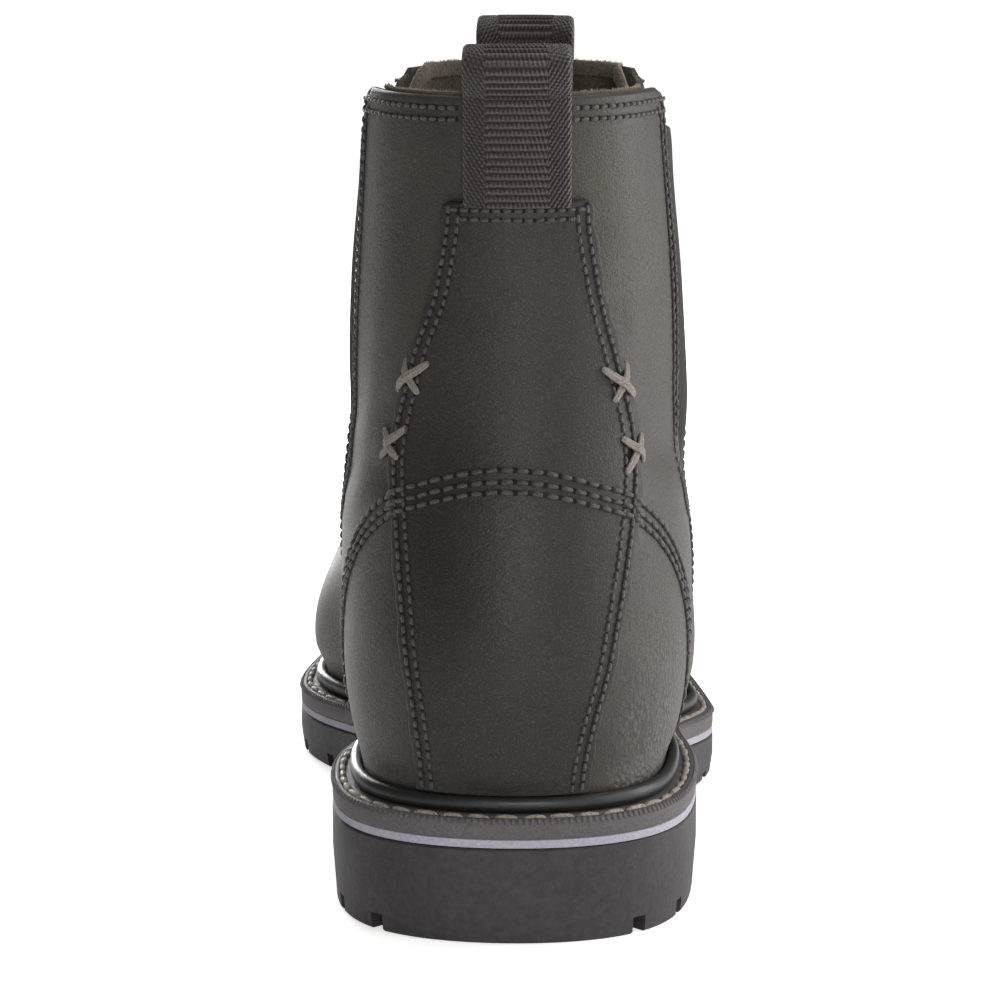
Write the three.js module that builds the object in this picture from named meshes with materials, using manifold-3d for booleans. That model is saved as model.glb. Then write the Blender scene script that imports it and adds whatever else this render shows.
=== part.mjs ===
// Side gore work boot for the right foot, standing empty on its sole.
// Millimetres. +Z is up, +Y runs to the toe and +X to the outer side of the foot.
// The origin is the centre of the heel's tread, on the floor.

import * as THREE from "three";
import { mergeVertices } from "three/addons/utils/BufferGeometryUtils.js";
import Module from "manifold-3d";

const wasm = await Module();
wasm.setup();

// Sole sizes
const soleLength = 306;
const ballWidth = 118;
const heelWidth = 91;
const heelRound = 62;
const toeRound = 46;
const toeSwing = 10;
const heelLength = 76;
const heelThickness = 23.4;
const forepartThickness = 12.2;
const archLift = 12;
const toeSpring = 10;
const soleTaper = 0.9;
const midsoleThickness = 2;
const weltThickness = 4.7;
const ledgeWidth = 4.3;

// Tread sizes
const lugDepth = 4.2;
const lugGap = 4;
const lugReach = 15;
const lugPitch = 21;
const channelWidth = 3.6;
const chevronPitch = 24;
const chevronAngle = 28;

// Upper sizes
const wall = 2.2;
const gap = 0.3;
const curveEase = 0.25;
const weltTuck = 1;
const collarHeight = 200;
const collarLength = 121;
const collarWidth = 76;
const collarSetback = 10;
const instepHeight = 104;
const randWidth = 3.2;
const randHeight = 4.2;
const insoleRise = 3;

// Panel sizes
const goreThickness = 1.5;
const goreTopWidth = 54;
const goreBottomWidth = 26;
const goreDepth = 104;
const goreLap = 7;
const goreDrop = 11;
const goreBack = 46;
const cornerRound = 6;
const stayThickness = 1.4;
const stayWidth = 59;
const stayTop = 176;
const stayLean = 2.1;
const loopWidth = 25;
const loopThickness = 1.8;
const loopRise = 11;
const loopBulge = 8.5;
const loopLeg = 24;

// How far a cutter runs past what it cuts, and how far the thin layer stands back from the edge
const past = 20;
const layerInset = 0.2;
const insoleBevel = 0.8;

// Number of facets round each ring
const ringCount = 56;

// Where the sole starts and where its heel block ends
const heelBack = -heelLength / 2;
const heelBreast = heelLength / 2;

// A value that runs smoothly from 0 at a to 1 at b
function ramp(a, b, t) {
  const k = Math.min(1, Math.max(0, (t - a) / (b - a)));
  return k * k * (3 - 2 * k);
}

// A smooth curve through knots that never overshoots them
function through(knots, values, t) {
  if (t <= knots[0]) return values[0];
  const last = knots.length - 1;
  if (t >= knots[last]) return values[last];
  let i = 0;
  while (t > knots[i + 1]) i += 1;
  const slope = (j) => (values[j + 1] - values[j]) / (knots[j + 1] - knots[j]);
  const tangent = (j) => {
    if (j === 0 || j === last) return 0;
    const before = slope(j - 1);
    const after = slope(j);
    if (before * after <= 0) return 0;
    return (2 * before * after) / (before + after);
  };
  const h = knots[i + 1] - knots[i];
  const k = (t - knots[i]) / h;
  const k2 = k * k;
  const k3 = k2 * k;
  return (
    (2 * k3 - 3 * k2 + 1) * values[i] +
    (k3 - 2 * k2 + k) * h * tangent(i) +
    (-2 * k3 + 3 * k2) * values[i + 1] +
    (k3 - k2) * h * tangent(i + 1)
  );
}

// Heights of the sole's layers, worked out from the place along the sole
const along = (y) => (y - heelBack) / soleLength;
const springAt = (t) => toeSpring * Math.max(0, (t - 0.7) / 0.3) ** 2;
function outsoleTop(y) {
  const t = along(y);
  return forepartThickness + (heelThickness - forepartThickness) * (1 - ramp(0.2, 0.6, t)) + springAt(t);
}
function treadBase(y) {
  const t = along(y);
  return archLift * (1 - ramp(0.34, 0.52, t)) + springAt(t);
}
const midsoleTop = (y) => outsoleTop(y) + gap + midsoleThickness;
const weltTop = (y) => midsoleTop(y) + gap + weltThickness;
const upperSeat = (y) => weltTop(y) + gap;

// Half widths of a section of the last, at stations along it. The heel is a share of the heel's
// width, the others are shares of the ball's width, each for the outer and the inner side.
const outerStations = [0, 0.17, 0.38, 0.57, 0.84, 1];
const innerStations = [0, 0.17, 0.42, 0.645, 0.86, 1];
const soleRow = {
  heel: 0.505, waistOut: 0.355, waistIn: 0.310, ballOut: 0.474, ballIn: 0.508, toeOut: 0.435, toeIn: 0.440,
};

// Foot belts of the upper, from just over the rand to the instep. back and front are shares of the
// sole's length, backUp and frontUp shares of the instep's height over the welt.
const footRows = [
  { v: 0.07, back: 0.018, front: 0.985, backUp: 0.13, frontUp: 0.15, heel: 0.460,
    waistOut: 0.310, waistIn: 0.280, ballOut: 0.426, ballIn: 0.472, toeOut: 0.400, toeIn: 0.405 },
  { v: 0.14, back: 0.011, front: 0.988, backUp: 0.28, frontUp: 0.29, heel: 0.484,
    waistOut: 0.325, waistIn: 0.318, ballOut: 0.428, ballIn: 0.462, toeOut: 0.402, toeIn: 0.405 },
  { v: 0.26, back: 0.008, front: 0.968, backUp: 0.52, frontUp: 0.47, heel: 0.498,
    waistOut: 0.358, waistIn: 0.362, ballOut: 0.406, ballIn: 0.394, toeOut: 0.375, toeIn: 0.375 },
  { v: 0.37, back: 0.013, front: 0.895, backUp: 0.75, frontUp: 0.65, heel: 0.498,
    waistOut: 0.362, waistIn: 0.384, ballOut: 0.350, ballIn: 0.338, toeOut: 0.312, toeIn: 0.312 },
  { v: 0.48, back: 0.024, front: 0.755, backUp: 1.00, frontUp: 0.84, heel: 0.480,
    waistOut: 0.352, waistIn: 0.378, ballOut: 0.318, ballIn: 0.318, toeOut: 0.252, toeIn: 0.252 },
];

// Shaft belts, from the ankle to the collar. back is a share of the collar's setback, front a share
// of the way from the collar's front to the instep's, up a share of the shaft's height over the
// instep, and the half widths are shares of the collar's width.
const shaftRows = [
  { v: 0.60, back: 1.15, front: 0.560, backUp: 0.18, frontUp: 0.05, heel: 0.535, waist: 0.562, ball: 0.500, toe: 0.400 },
  { v: 0.70, back: 1.25, front: 0.255, backUp: 0.36, frontUp: 0.25, heel: 0.525, waist: 0.556, ball: 0.500, toe: 0.415 },
  { v: 0.80, back: 1.25, front: 0.085, backUp: 0.57, frontUp: 0.50, heel: 0.512, waist: 0.542, ball: 0.500, toe: 0.425 },
  { v: 0.90, back: 1.12, front: 0.015, backUp: 0.785, frontUp: 0.76, heel: 0.494, waist: 0.515, ball: 0.490, toe: 0.425 },
  { v: 1.00, back: 1.00, front: 0.000, backUp: 1.00, frontUp: 1.02, heel: 0.475, waist: 0.500, ball: 0.480, toe: 0.415 },
];

// The last's middle line, which swings to the inner side ahead of the arch
const middleAt = (y) => -toeSwing * ramp(0.35, 0.8, along(y));

// Place of a point on one belt. theta is 0 at the back, a quarter turn at the outer side, half a
// turn at the toe and three quarters at the inner side.
function beltPoint(belt, theta) {
  const s = (1 - Math.cos(theta)) / 2;
  const outer = Math.sin(theta) >= 0;
  const half = through(outer ? outerStations : innerStations, outer ? belt.outer : belt.inner, s);
  const atBack = s < 0.5;
  const end = atBack ? belt.outer[0] : (belt.outer[5] + belt.inner[5]) / 2;
  const power = ((atBack ? belt.backRound : belt.frontRound) * belt.length) / end ** 2;
  const closing = Math.sqrt(Math.max(0, 1 - Math.abs(Math.cos(theta)) ** power));
  const y = belt.back + belt.length * s;
  return [(outer ? 1 : -1) * half * closing + middleAt(y), y];
}

// Belts in millimetres, worked out from the tables
function footBelt(row, length, back) {
  const heel = row.heel * heelWidth;
  const list = (waist, ball, toe) => [heel, heel, waist, ball, toe, toe * 0.97].map((w, i) => (i < 2 ? w : w * ballWidth));
  return {
    outer: list(row.waistOut, row.ballOut, row.toeOut),
    inner: list(row.waistIn, row.ballIn, row.toeIn),
    back,
    length,
  };
}
const soleBelt = {
  ...footBelt(soleRow, soleLength, heelBack),
  backRound: heelRound,
  frontRound: toeRound,
};
const welt0 = upperSeat(heelBack);
const footBelts = footRows.map((row) => ({
  ...footBelt(row, (row.front - row.back) * soleLength, heelBack + row.back * soleLength),
  v: row.v,
  backRound: heelRound * (0.64 - 0.17 * row.v),
  frontRound: toeRound * (0.95 - 0.55 * row.v),
  backHeight: welt0 + row.backUp * (instepHeight - welt0),
  frontHeight: welt0 + row.frontUp * (instepHeight - welt0),
}));
const instepReach = footRows[footRows.length - 1].front * soleLength;
const shaftBelts = shaftRows.map((row) => {
  const collarFront = collarSetback + collarLength;
  const back = row.back * collarSetback;
  const front = collarFront + row.front * (instepReach - collarFront);
  const list = [row.heel, row.heel, row.waist, row.ball, row.toe, row.toe].map((w) => w * collarWidth);
  return {
    outer: list,
    inner: list,
    v: row.v,
    back: heelBack + back,
    length: front - back,
    backRound: heelRound * 0.54,
    frontRound: toeRound * 0.62,
    backHeight: instepHeight + row.backUp * (collarHeight - instepHeight),
    frontHeight: instepHeight + row.frontUp * (collarHeight - instepHeight),
  };
});

// A point of the sole's edge, moved inwards by inset in plan
function soleEdge(theta, inset) {
  const step = 1e-3;
  const a = beltPoint(soleBelt, theta - step);
  const b = beltPoint(soleBelt, theta + step);
  const p = beltPoint(soleBelt, theta);
  const t = [b[0] - a[0], b[1] - a[1]];
  const size = Math.hypot(t[0], t[1]);
  return [p[0] - (inset * t[1]) / size, p[1] + (inset * t[0]) / size];
}

// The lowest two belts of the upper follow the sole's edge, behind the rand
const featherInset = ledgeWidth + randWidth + gap;
function lowBelt(v, inset, rise) {
  return (theta) => {
    const [x, y] = soleEdge(theta, inset);
    return { v, point: new THREE.Vector3(x, y, upperSeat(y) + rise) };
  };
}
function highBelt(belt) {
  return (theta) => {
    const [x, y] = beltPoint(belt, theta);
    const s = (y - belt.back) / belt.length;
    const line = belt.backHeight + (belt.frontHeight - belt.backHeight) * s;
    const front = belt.back + belt.length;
    const chord = upperSeat(belt.back) + (upperSeat(front) - upperSeat(belt.back)) * s;
    const follow = 1 - ramp(0, 0.45, belt.v);
    return { v: belt.v, point: new THREE.Vector3(x, y, line + follow * (upperSeat(y) - chord)) };
  };
}
const belts = [
  lowBelt(0, featherInset, 0),
  lowBelt(0.035, featherInset - 0.5, randHeight + gap),
  ...[...footBelts, ...shaftBelts].map(highBelt),
];

// Levels of the facets up the upper: each belt, and the middle between two belts of the foot
const knots = belts.map((belt) => belt(0).v);
const footLevels = 2 + footRows.length;
const levels = knots.flatMap((v, i) => (i < 2 || i > footLevels ? [v] : [(knots[i - 1] + v) / 2, v]));

// Outer surface of the upper at theta round it and v up it, smooth through all belts
function outerPoint(theta, v) {
  const at = belts.map((belt) => belt(theta));
  let i = 0;
  while (i < at.length - 2 && v > at[i + 1].v) i += 1;
  const h = at[i + 1].v - at[i].v;
  const k = (v - at[i].v) / h;
  const tangent = (j) => {
    const lo = at[Math.max(0, j - 1)];
    const hi = at[Math.min(at.length - 1, j + 1)];
    return hi.point.clone().sub(lo.point).multiplyScalar(h / (hi.v - lo.v));
  };
  const k2 = k * k;
  const k3 = k2 * k;
  return at[i].point.clone().multiplyScalar(2 * k3 - 3 * k2 + 1)
    .addScaledVector(tangent(i), k3 - 2 * k2 + k)
    .addScaledVector(at[i + 1].point, -2 * k3 + 3 * k2)
    .addScaledVector(tangent(i + 1), k3 - k2);
}

// The same surface moved inwards by depth, with its two rims kept level
function upperPoint(theta, v, depth) {
  const step = 2e-3;
  const round = outerPoint(theta + step, v).sub(outerPoint(theta - step, v));
  const up = outerPoint(theta, Math.min(1, v + step)).sub(outerPoint(theta, Math.max(0, v - step)));
  const outward = round.cross(up).normalize();
  const p = outerPoint(theta, v);
  const height = p.z;
  p.addScaledVector(outward, -depth);
  if (v === 0 || v === 1) p.z = height;
  return p;
}

// Closed meshes from rings of points, all rings with the same count
const ringOf = (at) => Array.from({ length: ringCount }, (_, j) => at((2 * Math.PI * j) / ringCount));
function loft(rings, tube) {
  const n = rings[0].length;
  const index = [];
  const quad = (a, b, c, d) => index.push(a, b, c, a, c, d);
  const bands = tube ? rings.length : rings.length - 1;
  for (let i = 0; i < bands; i += 1) {
    const low = i * n;
    const high = ((i + 1) % rings.length) * n;
    for (let j = 0; j < n; j += 1) {
      const k = (j + 1) % n;
      quad(low + j, low + k, high + k, high + j);
    }
  }
  if (!tube) {
    const top = (rings.length - 1) * n;
    for (let j = 0; j < n / 2; j += 1) {
      const mirrored = (n - j) % n;
      const next = n - j - 1;
      quad(top + j, top + j + 1, top + next, top + mirrored);
      quad(mirrored, next, j + 1, j);
    }
  }
  return solidOf(rings.flat().flatMap((p) => p.toArray()), index);
}

// Solids for cutting and joining, and back
function solidOf(numbers, index) {
  const kept = [];
  for (let i = 0; i < index.length; i += 3) {
    const [a, b, c] = index.slice(i, i + 3);
    if (a !== b && b !== c && c !== a) kept.push(a, b, c);
  }
  return new wasm.Manifold(new wasm.Mesh({
    numProp: 3,
    vertProperties: new Float32Array(numbers),
    triVerts: new Uint32Array(kept),
  }));
}
function solidFrom(geometry) {
  const bare = geometry.clone();
  bare.deleteAttribute("normal");
  bare.deleteAttribute("uv");
  const merged = mergeVertices(bare, 1e-4);
  return solidOf(Array.from(merged.attributes.position.array), Array.from(merged.index.array));
}
function geometryFrom(solid) {
  const { vertProperties, triVerts } = solid.getMesh();
  const geometry = new THREE.BufferGeometry();
  geometry.setAttribute("position", new THREE.BufferAttribute(new Float32Array(vertProperties), 3));
  geometry.setIndex(new THREE.BufferAttribute(new Uint32Array(triVerts), 1));
  geometry.computeVertexNormals();
  return geometry;
}

// A slab of the sole's outline, from its lowest level to its highest
function slab(levels) {
  return loft(levels.map(({ inset, height }) => ringOf((theta) => {
    const [x, y] = soleEdge(theta, inset);
    return new THREE.Vector3(x, y, height(y));
  })), false);
}

// A box that reaches from one corner to the other
function boxBetween(low, high) {
  const size = high.map((h, i) => h - low[i]);
  const middle = high.map((h, i) => (h + low[i]) / 2);
  return solidFrom(new THREE.BoxGeometry(...size).translate(...middle));
}

// A bar of the groove pattern, seen from above
function bar(x, y, angle, length, width, height) {
  const box = new THREE.BoxGeometry(length, width, height + past);
  return solidFrom(box.rotateZ(angle).translate(x, y, (height - past) / 2));
}
const joined = (solids) => solids.reduce((a, b) => a.add(b));

// Grooves that cut the edge into lugs, square to the sole's edge
function edgeBar(theta, height) {
  const [x, y] = soleEdge(theta, 0);
  const [inX, inY] = soleEdge(theta, 1);
  return bar(x, y, Math.atan2(y - inY, x - inX), lugReach * 2, lugGap, height);
}
const thetaAt = (y) => Math.acos(1 - 2 * along(y));

// Where the edge grooves lie, walked along the outline from the waist round the toe
function forepartEdges() {
  const found = [];
  for (const side of [1, -1]) {
    let walked = lugPitch / 2;
    let before = soleEdge(0, 0);
    for (let i = 1; i <= 720; i += 1) {
      const theta = (Math.PI * i) / 720;
      const here = soleEdge(side * theta, 0);
      if (along(here[1]) > 0.47) walked += Math.hypot(here[0] - before[0], here[1] - before[1]);
      before = here;
      if (walked < lugPitch) continue;
      walked -= lugPitch;
      if (theta < Math.PI - 0.12) found.push(side * theta);
    }
  }
  return found;
}

// Outsole: one rubber unit, with the arch cut out ahead of the heel's breast
function makeOutsole() {
  const far = soleLength * 2;
  const body = slab([
    { inset: soleTaper, height: () => 0 },
    { inset: 0, height: (y) => outsoleTop(y) * 0.55 },
    { inset: 0, height: outsoleTop },
  ]);
  const ahead = boxBetween([-far, heelBreast, -far], [far, far, far]);
  const arch = slab([{ inset: -lugGap, height: () => -past }, { inset: -lugGap, height: treadBase }]).intersect(ahead);
  const channelOf = (floor, low, high) => slab([
    { inset: lugReach, height: () => -past },
    { inset: lugReach, height: floor },
  ]).subtract(slab([
    { inset: lugReach + channelWidth, height: () => -past * 1.1 },
    { inset: lugReach + channelWidth, height: () => far },
  ])).intersect(boxBetween([-far, low, -far], [far, high, far]));

  const heelEdges = [0.036, 0.09, 0.165].flatMap((t) => [1, -1].map((side) => side * thetaAt(heelBack + t * soleLength)));
  const heelBars = heelEdges.map((theta) => edgeBar(theta, lugDepth));
  heelBars.push(channelOf(() => lugDepth, -far, heelBreast - lugReach));
  heelBars.push(bar(0, heelBreast - lugReach, 0, heelWidth - lugReach * 2, channelWidth, lugDepth));
  const heelGrooves = joined(heelBars);

  const forepartStart = heelBack + 0.5 * soleLength;
  const forepartBars = forepartEdges().map((theta) => edgeBar(theta, far));
  const tilt = THREE.MathUtils.degToRad(chevronAngle);
  for (let y = forepartStart + chevronPitch; along(y) < 0.9; y += chevronPitch) {
    for (const side of [1, -1]) {
      forepartBars.push(bar(side * lugReach, y, -side * tilt, lugReach * 2.6, channelWidth, far));
    }
  }
  const recess = slab([
    { inset: -lugGap, height: () => -past * 0.9 },
    { inset: -lugGap, height: (y) => treadBase(y) + lugDepth },
  ]);
  const inland = lugReach + channelWidth / 3;
  const core = slab([{ inset: inland, height: () => -past * 0.8 }, { inset: inland, height: () => far }]);
  const rim = forepartBars.slice(0, forepartEdges().length);
  const inside = forepartBars.slice(rim.length);
  const forepartGrooves = joined(rim).add(joined(inside).intersect(core)).intersect(recess)
    .add(channelOf((y) => treadBase(y) + lugDepth, forepartStart, far));
  return body.subtract(arch).subtract(heelGrooves).subtract(forepartGrooves);
}

// Midsole: one thin layer with the sole's outline
function makeMidsole() {
  return slab([
    { inset: layerInset, height: (y) => outsoleTop(y) + gap },
    { inset: layerInset, height: midsoleTop },
  ]);
}

// Welt: a strip round the edge, under the foot of the upper
const weltWidth = featherInset + wall + weltTuck;
function makeWelt() {
  const ring = (inset, height) => ringOf((theta) => {
    const [x, y] = soleEdge(theta, inset);
    return new THREE.Vector3(x, y, height(y));
  });
  const foot = (y) => midsoleTop(y) + gap;
  return loft([ring(0, foot), ring(0, weltTop), ring(weltWidth, weltTop), ring(weltWidth, foot)], true);
}

// Insole: the footbed, let into the welt's ring
function makeInsole() {
  const inset = weltWidth + gap;
  return slab([
    { inset, height: (y) => midsoleTop(y) + gap },
    { inset, height: weltTop },
    { inset: inset + insoleBevel, height: (y) => weltTop(y) + insoleRise },
  ]);
}

// Rand: a bead with an oval section, in the corner between the welt and the upper
function makeRand() {
  const sides = 6;
  const middle = ledgeWidth + randWidth / 2;
  const rings = Array.from({ length: sides }, (_, i) => {
    const turn = (2 * Math.PI * i) / sides;
    const inset = middle - (Math.cos(turn) * randWidth) / 2;
    const rise = (randHeight / 2) * (1 + Math.sin(turn));
    return ringOf((theta) => {
      const [x, y] = soleEdge(theta, inset);
      return new THREE.Vector3(x, y, upperSeat(y) + rise);
    });
  });
  return loft(rings, true);
}

// A shell of the upper's own surface between two depths
function shell(near, far) {
  const level = (depth, v) => ringOf((theta) => upperPoint(theta, v, depth));
  const up = levels.map((v) => level(near, v));
  const down = levels.map((v) => level(far, v)).reverse();
  return loft([...up, ...down], true);
}

// A prism through the boot from side to side, from a shape drawn in y and z
function sidePrism(shape, from, to) {
  const solid = new THREE.ExtrudeGeometry(shape, { depth: to - from, bevelEnabled: false, curveSegments: 10 });
  const turned = new THREE.Matrix4().makeBasis(
    new THREE.Vector3(0, 1, 0), new THREE.Vector3(0, 0, 1), new THREE.Vector3(1, 0, 0),
  );
  return solidFrom(solid.applyMatrix4(turned).translate(from, 0, 0));
}

// The gore's window in side view, grown by lap, with its top edge at a height. A window that runs
// out at the collar leaves a round corner on the leather at each side of it.
function goreShape(lap, top, corner) {
  const middle = heelBack + goreBack + goreTopWidth / 2;
  const low = collarHeight - goreDepth - lap;
  const bottom = goreBottomWidth / 2 + lap;
  const slant = (goreTopWidth - goreBottomWidth) / 2 / goreDepth;
  const wideAt = (z) => goreTopWidth / 2 + lap + (z - collarHeight) * slant;
  const shape = new THREE.Shape();
  if (corner > 0) {
    const z = collarHeight - corner;
    const reach = wideAt(z);
    shape.moveTo(middle - reach - corner, top);
    shape.lineTo(middle - reach - corner, collarHeight);
    shape.absarc(middle - reach - corner, z, corner, Math.PI / 2, 0, true);
    shape.lineTo(middle - bottom, low + bottom);
    shape.absarc(middle, low + bottom, bottom, Math.PI, 2 * Math.PI, false);
    shape.lineTo(middle + reach, z);
    shape.absarc(middle + reach + corner, z, corner, Math.PI, Math.PI / 2, true);
    shape.lineTo(middle + reach + corner, top);
  } else {
    shape.moveTo(middle - wideAt(top), top);
    shape.lineTo(middle - bottom, low + bottom);
    shape.absarc(middle, low + bottom, bottom, Math.PI, 2 * Math.PI, false);
    shape.lineTo(middle + wideAt(top), top);
  }
  shape.closePath();
  return shape;
}

// The stay in back view: width and lean as shares, against its height
const stayRows = [
  { up: 0.0, width: 0.69, lean: -0.6 },
  { up: 0.25, width: 0.87, lean: 0.2 },
  { up: 0.46, width: 0.98, lean: 0.55 },
  { up: 0.54, width: 1.0, lean: 0.55 },
  { up: 0.72, width: 0.85, lean: 0.62 },
  { up: 0.85, width: 0.68, lean: 0.95 },
  { up: 1.0, width: 0.59, lean: 1.0 },
];
function stayShape() {
  const foot = upperSeat(heelBack) + randHeight + gap;
  const heights = stayRows.map((row) => row.up);
  const edge = (side, up) => {
    const width = through(heights, stayRows.map((row) => row.width), up) * stayWidth;
    const lean = through(heights, stayRows.map((row) => row.lean), up) * stayLean;
    return [(side * width) / 2 + lean, foot + up * (stayTop - foot)];
  };
  const steps = 14;
  const points = [];
  for (let i = 0; i <= steps; i += 1) points.push(edge(1, i / steps));
  for (let i = steps; i >= 0; i -= 1) points.push(edge(-1, i / steps));
  return new THREE.Shape(points.map(([x, z]) => new THREE.Vector2(x, z)));
}

// A prism through the boot's back half, from a shape drawn in x and z
function backPrism(shape) {
  const depth = soleLength / 4;
  const solid = new THREE.ExtrudeGeometry(shape, { depth, bevelEnabled: false });
  return solidFrom(solid.rotateX(Math.PI / 2).translate(0, heelBack - past + depth, 0));
}

// Upper: one hollow wall, with a window for each gore
function makeUpper() {
  const windowShape = goreShape(0, collarHeight + past, cornerRound);
  return shell(0, wall)
    .subtract(sidePrism(windowShape, 1, ballWidth))
    .subtract(sidePrism(windowShape, -ballWidth, -1));
}

// Gores: elastic panels behind the windows
function makeGore(side) {
  const depth = wall + gap + curveEase;
  const top = collarHeight - goreDrop;
  const shape = goreShape(goreLap, top, 0);
  const panel = shell(depth, depth + goreThickness);
  return panel.intersect(side > 0 ? sidePrism(shape, 1, ballWidth) : sidePrism(shape, -ballWidth, -1));
}

// Back stay: an overlay on the upper's own surface
function makeStay() {
  return shell(-gap - stayThickness, -gap).intersect(backPrism(stayShape()));
}

// The place on the upper, at the back or the front, that lies off the middle by x
function besideMiddle(x, v, front, depth) {
  const middle = front ? Math.PI : 0;
  let low = -0.9;
  let high = 0.9;
  for (let i = 0; i < 40; i += 1) {
    const mid = (low + high) / 2;
    const found = upperPoint(middle + mid, v, depth).x;
    if ((front ? -found : found) < (front ? -x : x)) low = mid;
    else high = mid;
  }
  return upperPoint(middle + (low + high) / 2, v, depth);
}

// Pull loops: straps that straddle the collar, with a leg on each side of the wall
function makeLoop(front, legV, shift) {
  const across = 4;
  const legSteps = 3;
  const bendSteps = 10;
  const outside = -(gap + curveEase + loopThickness / 2);
  const inside = wall + gap + curveEase + loopThickness / 2;
  const lines = [];
  const line = (at) => {
    const points = [];
    for (let i = 0; i <= across; i += 1) points.push(at(shift + (i / across - 0.5) * loopWidth));
    lines.push(points);
  };
  const rim = 0.9999;
  for (let i = 0; i < legSteps; i += 1) {
    const v = legV + ((rim - legV) * i) / legSteps;
    line((x) => besideMiddle(x, v, front, outside));
  }
  for (let i = 0; i <= bendSteps; i += 1) {
    const turn = (Math.PI * i) / bendSteps;
    line((x) => {
      const a = besideMiddle(x, rim, front, outside);
      const b = besideMiddle(x, rim, front, inside);
      const middle = a.clone().add(b).multiplyScalar(0.5);
      const away = a.clone().sub(b).setZ(0);
      const half = away.length() / 2;
      away.normalize();
      middle.addScaledVector(away, (half + loopBulge * Math.sin(turn)) * Math.cos(turn));
      middle.z += loopRise * Math.sin(turn);
      return middle;
    });
  }
  for (let i = 1; i <= legSteps; i += 1) {
    const v = rim + ((legV - rim) * i) / legSteps;
    line((x) => besideMiddle(x, v, front, inside));
  }
  return strap(lines);
}

// A strap of even thickness about a grid of points
function strap(lines) {
  const rows = lines.length;
  const columns = lines[0].length;
  const numbers = [];
  for (const side of [1, -1]) {
    for (let i = 0; i < rows; i += 1) {
      for (let j = 0; j < columns; j += 1) {
        const up = lines[Math.min(rows - 1, i + 1)][j].clone().sub(lines[Math.max(0, i - 1)][j]);
        const over = lines[i][Math.min(columns - 1, j + 1)].clone().sub(lines[i][Math.max(0, j - 1)]);
        const away = over.cross(up).normalize().multiplyScalar((side * loopThickness) / 2);
        numbers.push(...lines[i][j].clone().add(away).toArray());
      }
    }
  }
  const index = [];
  const at = (face, i, j) => face * rows * columns + i * columns + j;
  const quad = (a, b, c, d) => index.push(a, b, c, a, c, d);
  for (let i = 0; i < rows - 1; i += 1) {
    for (let j = 0; j < columns - 1; j += 1) {
      quad(at(0, i, j), at(0, i, j + 1), at(0, i + 1, j + 1), at(0, i + 1, j));
      quad(at(1, i, j), at(1, i + 1, j), at(1, i + 1, j + 1), at(1, i, j + 1));
    }
  }
  const last = columns - 1;
  for (let i = 0; i < rows - 1; i += 1) {
    quad(at(0, i, 0), at(0, i + 1, 0), at(1, i + 1, 0), at(1, i, 0));
    quad(at(0, i, last), at(1, i, last), at(1, i + 1, last), at(0, i + 1, last));
  }
  for (let j = 0; j < last; j += 1) {
    quad(at(0, 0, j), at(1, 0, j), at(1, 0, j + 1), at(0, 0, j + 1));
    quad(at(0, rows - 1, j), at(0, rows - 1, j + 1), at(1, rows - 1, j + 1), at(1, rows - 1, j));
  }
  return solidOf(numbers, index);
}

// The v at which the back or the front of the upper reaches a height
function beltAt(height, front) {
  let low = 0.5;
  let high = 1;
  for (let i = 0; i < 40; i += 1) {
    const mid = (low + high) / 2;
    if (outerPoint(front ? Math.PI : 0, mid).z < height) low = mid;
    else high = mid;
  }
  return (low + high) / 2;
}

// Finishes
const finish = (color, roughness) => new THREE.MeshStandardMaterial({ color, roughness, metalness: 0 });
const finishes = {
  leather: finish(0x4a433c, 0.55),
  stay: finish(0x463f39, 0.52),
  elastic: finish(0x2b2825, 0.9),
  webbing: finish(0x4d4240, 0.85),
  rubber: finish(0x3a3735, 0.75),
  stripe: finish(0x6b666b, 0.8),
  welt: finish(0x4b443f, 0.7),
  rand: finish(0x151413, 0.25),
  insole: finish(0x7d6a52, 0.9),
};

const boot = new THREE.Group();
function place(name, solid, material) {
  const mesh = new THREE.Mesh(geometryFrom(solid), material);
  mesh.name = name;
  boot.add(mesh);
}
place("outsole", makeOutsole(), finishes.rubber);
place("midsole", makeMidsole(), finishes.stripe);
place("welt", makeWelt(), finishes.welt);
place("rand", makeRand(), finishes.rand);
place("insole", makeInsole(), finishes.insole);
place("upper", makeUpper(), finishes.leather);
place("gore_lateral", makeGore(1), finishes.elastic);
place("gore_medial", makeGore(-1), finishes.elastic);
place("back_stay", makeStay(), finishes.stay);
place("pull_loop_back", makeLoop(false, beltAt(stayTop + gap * 2, false), stayLean), finishes.webbing);
place("pull_loop_front", makeLoop(true, beltAt(collarHeight - loopLeg, true), 0), finishes.webbing);

export default boot;
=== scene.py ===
# %% [markdown]
# Side gore work boot, right foot, standing empty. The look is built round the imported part: every piece
# lies in the part's own frame, +Z up, +Y to the toe, +X to the outer side. Lengths are millimetres
# until a mesh is made.

import math
import time

import bpy
import numpy as np
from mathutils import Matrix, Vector
from mathutils.geometry import delaunay_2d_cdt
from mathutils.kdtree import KDTree


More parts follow.
